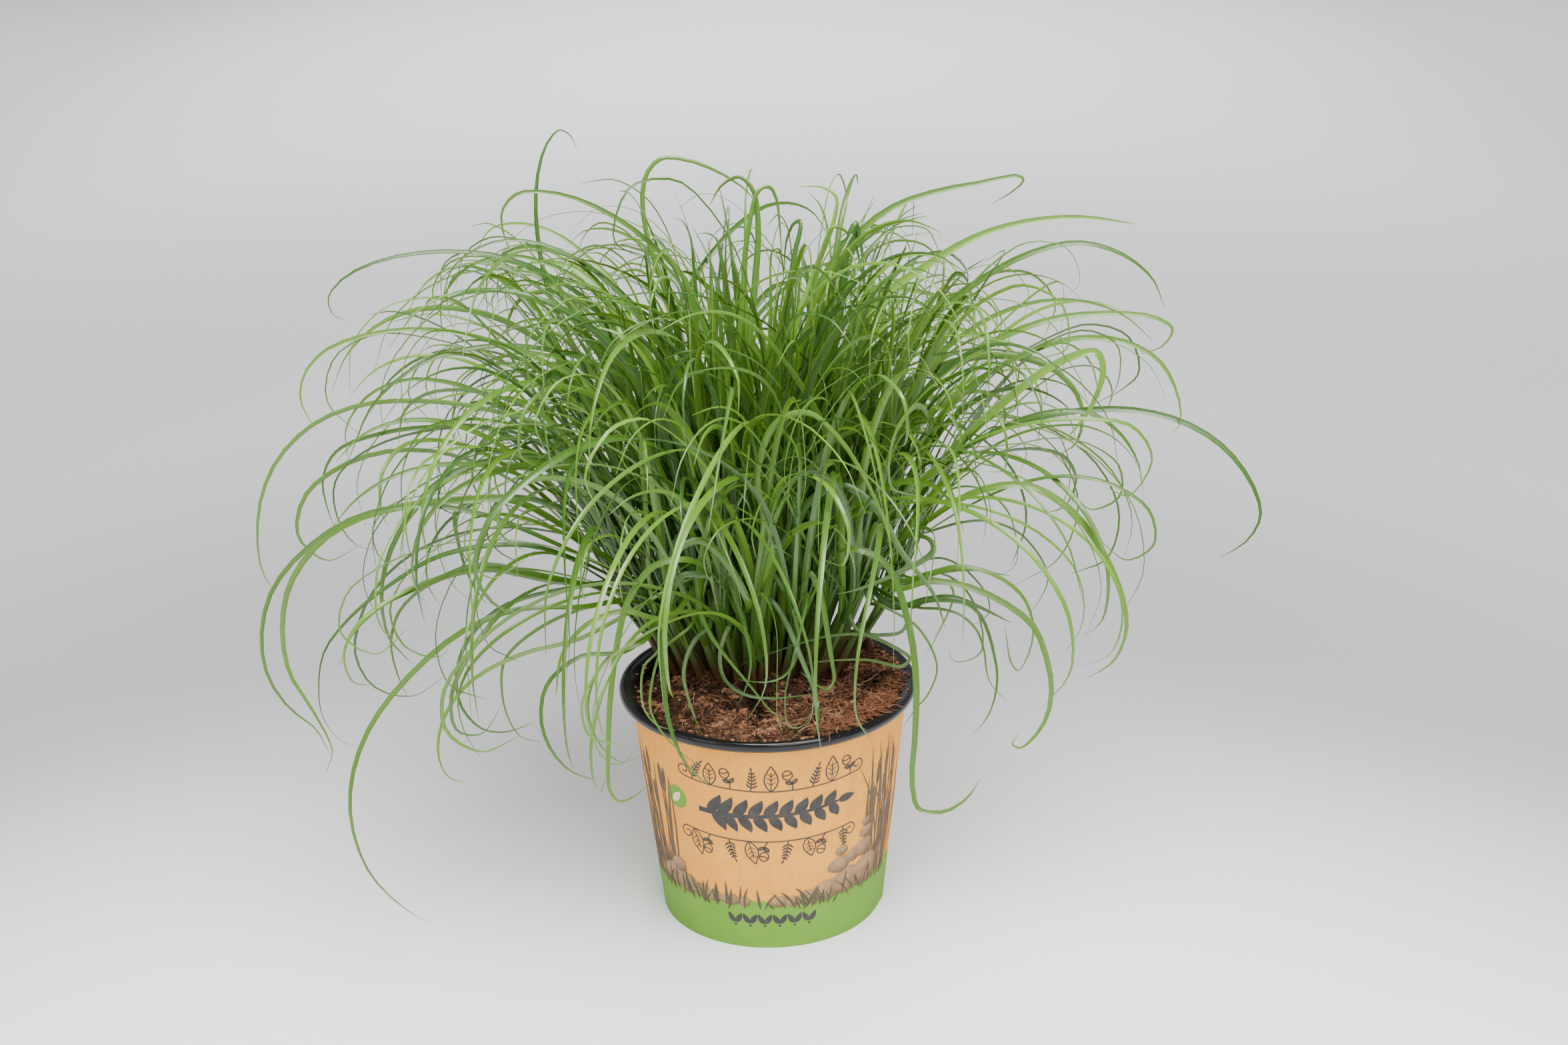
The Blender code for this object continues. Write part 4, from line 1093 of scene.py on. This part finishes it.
class Tuft:
    """Points, faces and the shading values of everything that grows from one shoot."""
    def __init__(self):
        self.points, self.faces, self.kinds, self.values = [], [], [], []
        self.count = 0

    def add_rings(self, rings, along, across, tone, age, kind):
        rows, sides = rings.shape[:2]
        first, last = self.count, self.count + (rows - 1) * sides
        self.points.append(rings.reshape(-1, 3))
        self.values.append(np.stack(np.broadcast_arrays(
            np.repeat(along, sides), np.tile(across, rows), tone, age)))
        for low in range(first, last, sides):
            for side in range(sides):
                a, b = low + side, low + (side + 1) % sides
                self.faces.append((a, b, b + sides, a + sides))
        self.faces.append(tuple(range(first + sides - 1, first - 1, -1)))
        self.faces.append(tuple(range(last, last + sides)))
        self.kinds.extend([kind] * ((rows - 1) * sides + 2))
        self.count += rows * sides

    def add_stalk(self, foot, top, wide, narrow, tone, bow, age=0.0):
        ahead = unit(top - foot)
        side = unit(np.cross(ahead, [0.3, 1.0, 0.0]))
        other = np.cross(ahead, side)
        shares = np.array([0, 0.06, 0.16, 0.3, 0.45, 0.6, 0.75, 0.88, 0.96, 1.0])
        swell = np.array([0.85, 1.0, 1.04, 1.0, 0.95, 0.9, 0.88, 0.86, 0.8, 0.5])
        turns = np.linspace(0, tau, 10, endpoint=False)
        radii = swell * (wide + (narrow - wide) * shares)
        spine = foot + shares[:, None] * (top - foot) + bow * np.sin(pi * shares)[:, None]
        ring = side * np.cos(turns)[:, None] + other * np.sin(turns)[:, None] * 0.88
        rings = spine[:, None, :] + radii[:, None, None] * ring[None, :, :]
        self.add_rings(rings, shares, np.cos(turns), tone, age, 0)

    def add_blade(self, path, widest, root, tone, age, roll=0.0, twist=0.0, seen=None,
                  taper=3.0):
        """A channelled blade, thickest at its rib, turned to show its face to the way it is seen."""
        share = run_along(path)
        share /= share[-1]
        low = root + (widest - root) * share / 0.18
        high = 1 - np.clip((share - 0.18) / 0.82, 0, 1) ** taper
        high = BLADE_THICKNESS + (widest - BLADE_THICKNESS) * high
        half = np.where(share < 0.18, low, high) / 2
        ahead = unit(np.gradient(path, axis=0))
        reach = path[len(path) // 3] - path[0]
        side = unit(np.array([-reach[1], reach[0], 0.0]))
        sides = []
        for way in ahead:
            side = unit(side - way * (side @ way))
            sides.append(side)
        sides = np.array(sides)
        upper = np.cross(ahead, sides)
        turn = roll + twist * share ** 1.3
        if seen is not None:
            outer = share > 0.3
            facing = atan2(-(sides[outer] @ seen).mean(), (upper[outer] @ seen).mean())
            facing = (facing + pi / 2) % pi - pi / 2
            turn = turn + facing * 0.8 * np.clip(share / 0.45, 0, 1)
        across = sides * np.cos(turn)[:, None] + upper * np.sin(turn)[:, None]
        lift = np.cross(ahead, across)
        fold = 0.55 * np.exp(-share * 9) + 0.24 + 0.20 * share ** 3
        flat = BLADE_THICKNESS * (0.35 + 0.65 * (1 - share)) * np.minimum(1, half / 0.0005)
        section = ((-1.0, 1.0, -0.1), (-0.52, 0.36, 0.0), (0.0, 0.0, 0.0), (0.52, 0.36, 0.0),
                   (1.0, 1.0, -0.1), (0.52, 0.36, -1.0), (0.0, 0.0, -1.8), (-0.52, 0.36, -1.0))
        rings = np.stack([path + across * (half * out)[:, None]
                          + lift * (half * fold * up + flat * thick)[:, None]
                          for out, up, thick in section], 1)
        self.add_rings(rings, share, [out for out, up, thick in section], tone, age, 1)


def stretched(tree, value, low, high):
    """A value that goes from 0 to 1 while the given one goes from low to high."""
    node = tree.nodes.new("ShaderNodeMapRange")
    node.inputs["From Min"].default_value = low
    node.inputs["From Max"].default_value = high
    tree.links.new(value, node.inputs["Value"])
    return node.outputs["Result"]


stalk_skin, tree, shader, place = paint("rolled_sheath", 0.48, 0.4)
streak = grain(tree, place, 900, 3, 0.6, (1.0, 1.0, 0.05))
climb = worked(tree, "MULTIPLY_ADD", grain(tree, place, 120, 2), 0.016, axes(tree, place)["Z"])
sheath = between(tree, stretched(tree, climb, 0.092, 0.142), 0.0, 1.0,
                 (0.040, 0.018, 0.010), (0.055, 0.140, 0.020),
                 ((0.20, (0.12, 0.042, 0.022)), (0.36, (0.13, 0.090, 0.034)),
                  (0.54, (0.09, 0.17, 0.034))))
sheath = mixed(tree, between(tree, streak, 0.45, 0.70, 0.0, 0.5), sheath, (0.10, 0.075, 0.022))
dead = between(tree, streak, 0.35, 0.75, (0.060, 0.018, 0.012), (0.17, 0.070, 0.045))
sheath = mixed(tree, shade_attribute(tree, "age"), sheath, dead)
coat(tree, shader, sheath)
raised(tree, shader, streak, 0.35, 0.0003)

leaf_skin, tree, shader, place = paint("grass_blade", 0.25, 0.52)
tone, along, across, age = (shade_attribute(tree, name)
                            for name in ("tone", "along", "across", "age"))
blotch = grain(tree, place, 45, 4, 0.6)
green = between(tree, tone, 0.05, 0.95, (0.016, 0.054, 0.008), (0.118, 0.246, 0.020))
green = mixed(tree, between(tree, blotch, 0.35, 0.70, 0.0, 0.45), green, (0.045, 0.135, 0.015))
# Painted shade: blades are darker towards their foot, as shade inside the clump.
lower = between(tree, tone, 0.70, 0.95, (0.022, 0.066, 0.009), (0.13, 0.21, 0.035))
green = mixed(tree, between(tree, along, 0.0, 0.30, 0.75, 0.0), green, lower)
veins = worked(tree, "SINE", worked(tree, "MULTIPLY", across, 26.0))
green = mixed(tree, between(tree, veins, 0.2, 0.95, 0.0, 0.20), green, (0.125, 0.260, 0.030))
rib = between(tree, worked(tree, "ABSOLUTE", across), 0.02, 0.16, 0.30, 0.0)
green = mixed(tree, rib, green, (0.19, 0.33, 0.055))
tip = worked(tree, "MULTIPLY_ADD", age, 0.6, along)
green = mixed(tree, between(tree, tip, 1.30, 1.46, 0.0, 0.85), green, (0.33, 0.20, 0.075))
coat(tree, shader, green)
coat(tree, shader, between(tree, blotch, 0.3, 0.7, 0.20, 0.32), "Roughness")
shader.inputs["Subsurface Weight"].default_value = 0.12
shader.inputs["Subsurface Radius"].default_value = (0.0006, 0.0009, 0.0002)
shader.inputs["Subsurface Scale"].default_value = 1.0
raised(tree, shader, veins, 0.16, 0.00010)

toward_view = -np.array(forward)
shoot_dice = random.Random(41)
for number in range(SHOOTS):
    ring = sqrt((number + 0.5) / SHOOTS)
    turn = number * GOLDEN_TURN + 0.6
    x, y = CLUMP + CLUMP_REACH * polar(ring, turn)
    lean = tilted(radians(3.0 + 22.0 * ring), turn)
    ground = max(soil_slope(x + aside, y + back) for aside in (-0.004, 0, 0.004)
                 for back in (-0.004, 0, 0.004))
    foot = np.array([x, y, ground + 0.0015])
    top = foot + lean * shoot_dice.uniform(0.026, 0.044)
    tuft = Tuft()
    dice = random.Random(300 + number)
    tuft.add_stalk(foot - lean * 0.003, top, 0.0026, 0.0023, dice.random(), np.zeros(3))
    for widest, near, far, home, *marks in OUTLINE_LEAVES:
        if home != number:
            continue
        run = run_along(np.array(marks, float))
        points = [picture_point(*mark, (near + (far - near) * way / run[-1]) / 1000)
                  for mark, way in zip(marks, run)]
        path = traced_path(top, lean, points, 0.012, 0.0012, 32)
        tuft.add_blade(path, widest / 1000, BLADE_ROOT, dice.random(), dice.random(), 0.0,
                       dice.uniform(-0.5, 0.5), toward_view, 5.0)
    for widest, near, far, home, *marks in FRONT_LEAVES:
        if home != number:
            continue
        points = [slid_clear(*mark, (near + (far - near) * k / (len(marks) - 1)) / 1000)
                  for k, mark in enumerate(marks)]
        path = traced_path(top, lean, points, 0.008, 0.0010, 36)
        tuft.add_blade(path, widest / 1000, BLADE_ROOT, dice.uniform(0.0, 0.65), dice.random(),
                       0.0, dice.uniform(-0.9, 0.9), toward_view)
    shade_dice = dice
    shoot = bpy.data.objects["shoot_%02d" % (number + 1)]
    solid = BVHTree.FromPolygons([shoot.matrix_world @ vert.co for vert in shoot.data.vertices],
                                 [face.vertices for face in shoot.data.polygons])
    found = set()
    for draw in range(INNER_LEAVES * DRAWS):
        if draw // DRAWS in found:
            continue
        dice = random.Random(10000 * number + draw)
        bearing = turn + dice.gauss(0.0, 1.4 - 0.7 * ring)
        steep = dice.random() ** (0.4 + 1.0 * ring)
        length = dice.uniform(0.20, 0.29) + 0.05 * steep
        rise = radians(52 + 35 * steep)
        droop = radians(dice.uniform(125, 195) - 60 * steep)
        swirl = dice.uniform(-0.9, 0.9)
        curl = dice.uniform(0.5, 4.0)
        widest = dice.uniform(0.0020, 0.0034)
        start, side = leave_stalk(top, lean, bearing, STALK_OFFSET)
        path = arching_path(start, lean, bearing, length, rise, droop, swirl, curl)
        if follows(solid, path):
            found.add(draw // DRAWS)
            tuft.add_blade(smooth_path(path[::4], 32), widest, BLADE_ROOT, shade_dice.random(),
                           shade_dice.random(), 0.0, shade_dice.uniform(-1.5, 1.5))
    if number == STUB_SHOOT:
        tuft.add_stalk(np.array([0.0415, 0.0250, 0.0935]), np.array([0.0405, 0.0225, 0.1095]),
                       0.0029, 0.0021, 0.3, np.array([0.0006, 0.0, 0.0]), 1.0)
    dice = random.Random(900 + number)
    for stalk in range(SMALL_STALKS):
        way = tau * stalk / SMALL_STALKS + dice.uniform(-0.5, 0.5)
        spot = foot[:2] + polar(dice.uniform(0.0036, 0.0060), way)
        out = (spot - CLUMP) / CLUMP_REACH
        reach = np.linalg.norm(out)
        if reach > 1.04:
            spot = CLUMP + (spot - CLUMP) * 1.04 / reach
            reach = 1.04
        aim = atan2(out[1], out[0])
        small_lean = tilted(radians(3 + 24 * reach + dice.uniform(-5, 5)), aim)
        small_foot = np.array([*spot, soil_height(*spot) - 0.0015])
        small_top = small_foot + small_lean * dice.uniform(0.016, 0.042)
        wide = dice.uniform(0.0010, 0.0019)
        tuft.add_stalk(small_foot, small_top, wide, wide * 0.85, dice.random(),
                       np.array([dice.uniform(-1, 1), dice.uniform(-1, 1), 0]) * 0.0008)
        for blade in range(dice.choice((5, 5, 6))):
            for attempt in range(ATTEMPTS):
                bearing = aim + dice.gauss(0.0, 1.25 - 0.75 * min(reach, 1.0))
                kind = dice.random()
                tilts, lengths, droops, lates = next(
                    habit[2:] for habit in HABITS if kind < habit[0] and reach < habit[1])
                tilt = tilts[0] + tilts[1] * reach + dice.gauss(0, tilts[2])
                tilt = max(0, tilt) if tilts[0] else abs(tilt)
                length, droop, late = (dice.uniform(*span) for span in (lengths, droops, lates))
                curl = dice.choice((dice.uniform(0, 3), dice.uniform(5, 16)))
                start, side = leave_stalk(small_top, small_lean, bearing, wide * 0.5)
                path = arching_path(start, small_lean, bearing, length, radians(90 - tilt),
                                    radians(droop), dice.gauss(0, 0.8), curl,
                                    dice.uniform(0.01, 0.10), dice.uniform(0, 6), late)
                end = path[-1]
                thinned = ((hides_soil(path), 0.88), (end[0] > 0.085, 0.80),
                           (end[0] > 0.05 and end[2] < 0.16, 0.85), (end[0] < -0.10, 0.30),
                           (path[:, 2].max() > 0.285, 0.45))
                if any(held and dice.random() < chance for held, chance in thinned):
                    continue
                if inside_crown(path) and clear_of_pot(path[1:]):
                    widest = dice.choice((dice.uniform(0.0010, 0.0021),
                                          dice.uniform(0.0021, 0.0037)))
                    tuft.add_blade(smooth_path(path[::3], 30), widest, wide * 1.3, dice.random(),
                                   dice.random(), dice.gauss(0, 0.5), dice.uniform(-2.4, 2.4))
                    break
    values = dict(zip(("along", "across", "tone", "age"), np.concatenate(tuft.values, 1)))
    piece = mesh_piece("tuft_%02d" % (number + 1), np.concatenate(tuft.points).tolist(),
                       tuft.faces, values, [stalk_skin, leaf_skin])
    piece.data.polygons.foreach_set("material_index", tuft.kinds)
    select_alone(piece)
    bpy.ops.object.mode_set(mode="EDIT")
    face_outwards()
    bpy.ops.object.shade_smooth_by_angle(angle=radians(55))
    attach(piece, "root")
    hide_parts("shoot_%02d" % (number + 1))

# Studio
# A wide flat sheet of pale matt card under the plant, with a panel overhead, weaker ones at
# the left and in front, and a wide one that lights the card at the back. The card carries
# painted shade and light: darker just behind the plant and towards the sides, lighter far back.
bpy.ops.object.select_all(action="DESELECT")
bpy.ops.mesh.primitive_plane_add(size=7, location=(0, 0.5, 0))
floor = bpy.context.object
floor.name = "studio_floor"
bpy.ops.object.transform_apply(location=True, rotation=True, scale=True)
pale_card, tree, shader, place = paint("pale_card", 0.7, 0.2)
# Painted shade and light on the card: a darker band behind the plant where its shadow and the falloff lie,
# lighter again further back, and darker towards both sides.
aside = worked(tree, "ADD", axes(tree, place)["X"], 0.03)
spread = worked(tree, "MULTIPLY", aside, aside)
bowed = worked(tree, "MULTIPLY_ADD", spread, 1.1, axes(tree, place)["Y"])
card = between(tree, stretched(tree, bowed, -0.4, 2.2), 0.13, 0.92, 0.88, (0.90, 0.905, 0.94),
               ((0.27, 0.37), (0.47, 0.60)), "EASE")
card = mixed(tree, between(tree, spread, 0.0, 0.9, 0.0, 0.60), card, (0.45, 0.45, 0.455))
patches = between(tree, grain(tree, place, 3, 3), 0.3, 0.7, 0.0, 0.03)
coat(tree, shader, mixed(tree, patches, card, (0.70, 0.70, 0.70)))
raised(tree, shader, grain(tree, place, 300, 2), 0.02, 0.0005)
floor.data.materials.append(pale_card)


def panel(name, place, size, power, aim):
    bpy.ops.object.light_add(type="AREA", location=place)
    lamp = bpy.context.object
    lamp.name = name
    lamp.data.shape = "RECTANGLE"
    lamp.data.size, lamp.data.size_y = size
    lamp.data.energy = power
    lamp.rotation_euler = (Vector(aim) - Vector(place)).to_track_quat("-Z", "Y").to_euler()
    return lamp


panel("overhead_panel", (0.10, -0.38, 1.20), (0.8, 0.5), 34.0, (0, -0.10, 0.0))
panel("left_panel", (-1.2, -0.9, 0.9), (0.8, 0.8), 5.0, (0, 0, 0.12))
backing = panel("back_panel", (0.0, 2.3, 1.5), (3.0, 1.6), 60.0, (0, 2.3, 0.0))
backing.visible_glossy = False
panel("front_panel", (0.45, -1.15, 1.05), (0.9, 0.6), 12.0, (0, -0.12, 0.0))
world = bpy.data.worlds.new("soft_surround")
bpy.context.scene.world = world
world.use_nodes = True
world.node_tree.nodes["Background"].inputs["Color"].default_value = (0.94, 0.96, 1.0, 1)
world.node_tree.nodes["Background"].inputs["Strength"].default_value = 0.50

lens = bpy.data.cameras.new("photo_camera")
lens.lens = 50.51
lens.sensor_width = 36.0
camera = bpy.data.objects.new("photo_camera", lens)
bpy.context.scene.collection.objects.link(camera)
camera.matrix_world = Matrix((
    (view_right.x, view_up.x, -forward.x, eye.x), (view_right.y, view_up.y, -forward.y, eye.y),
    (view_right.z, view_up.z, -forward.z, eye.z), (0, 0, 0, 1)))
bpy.context.scene.camera = camera
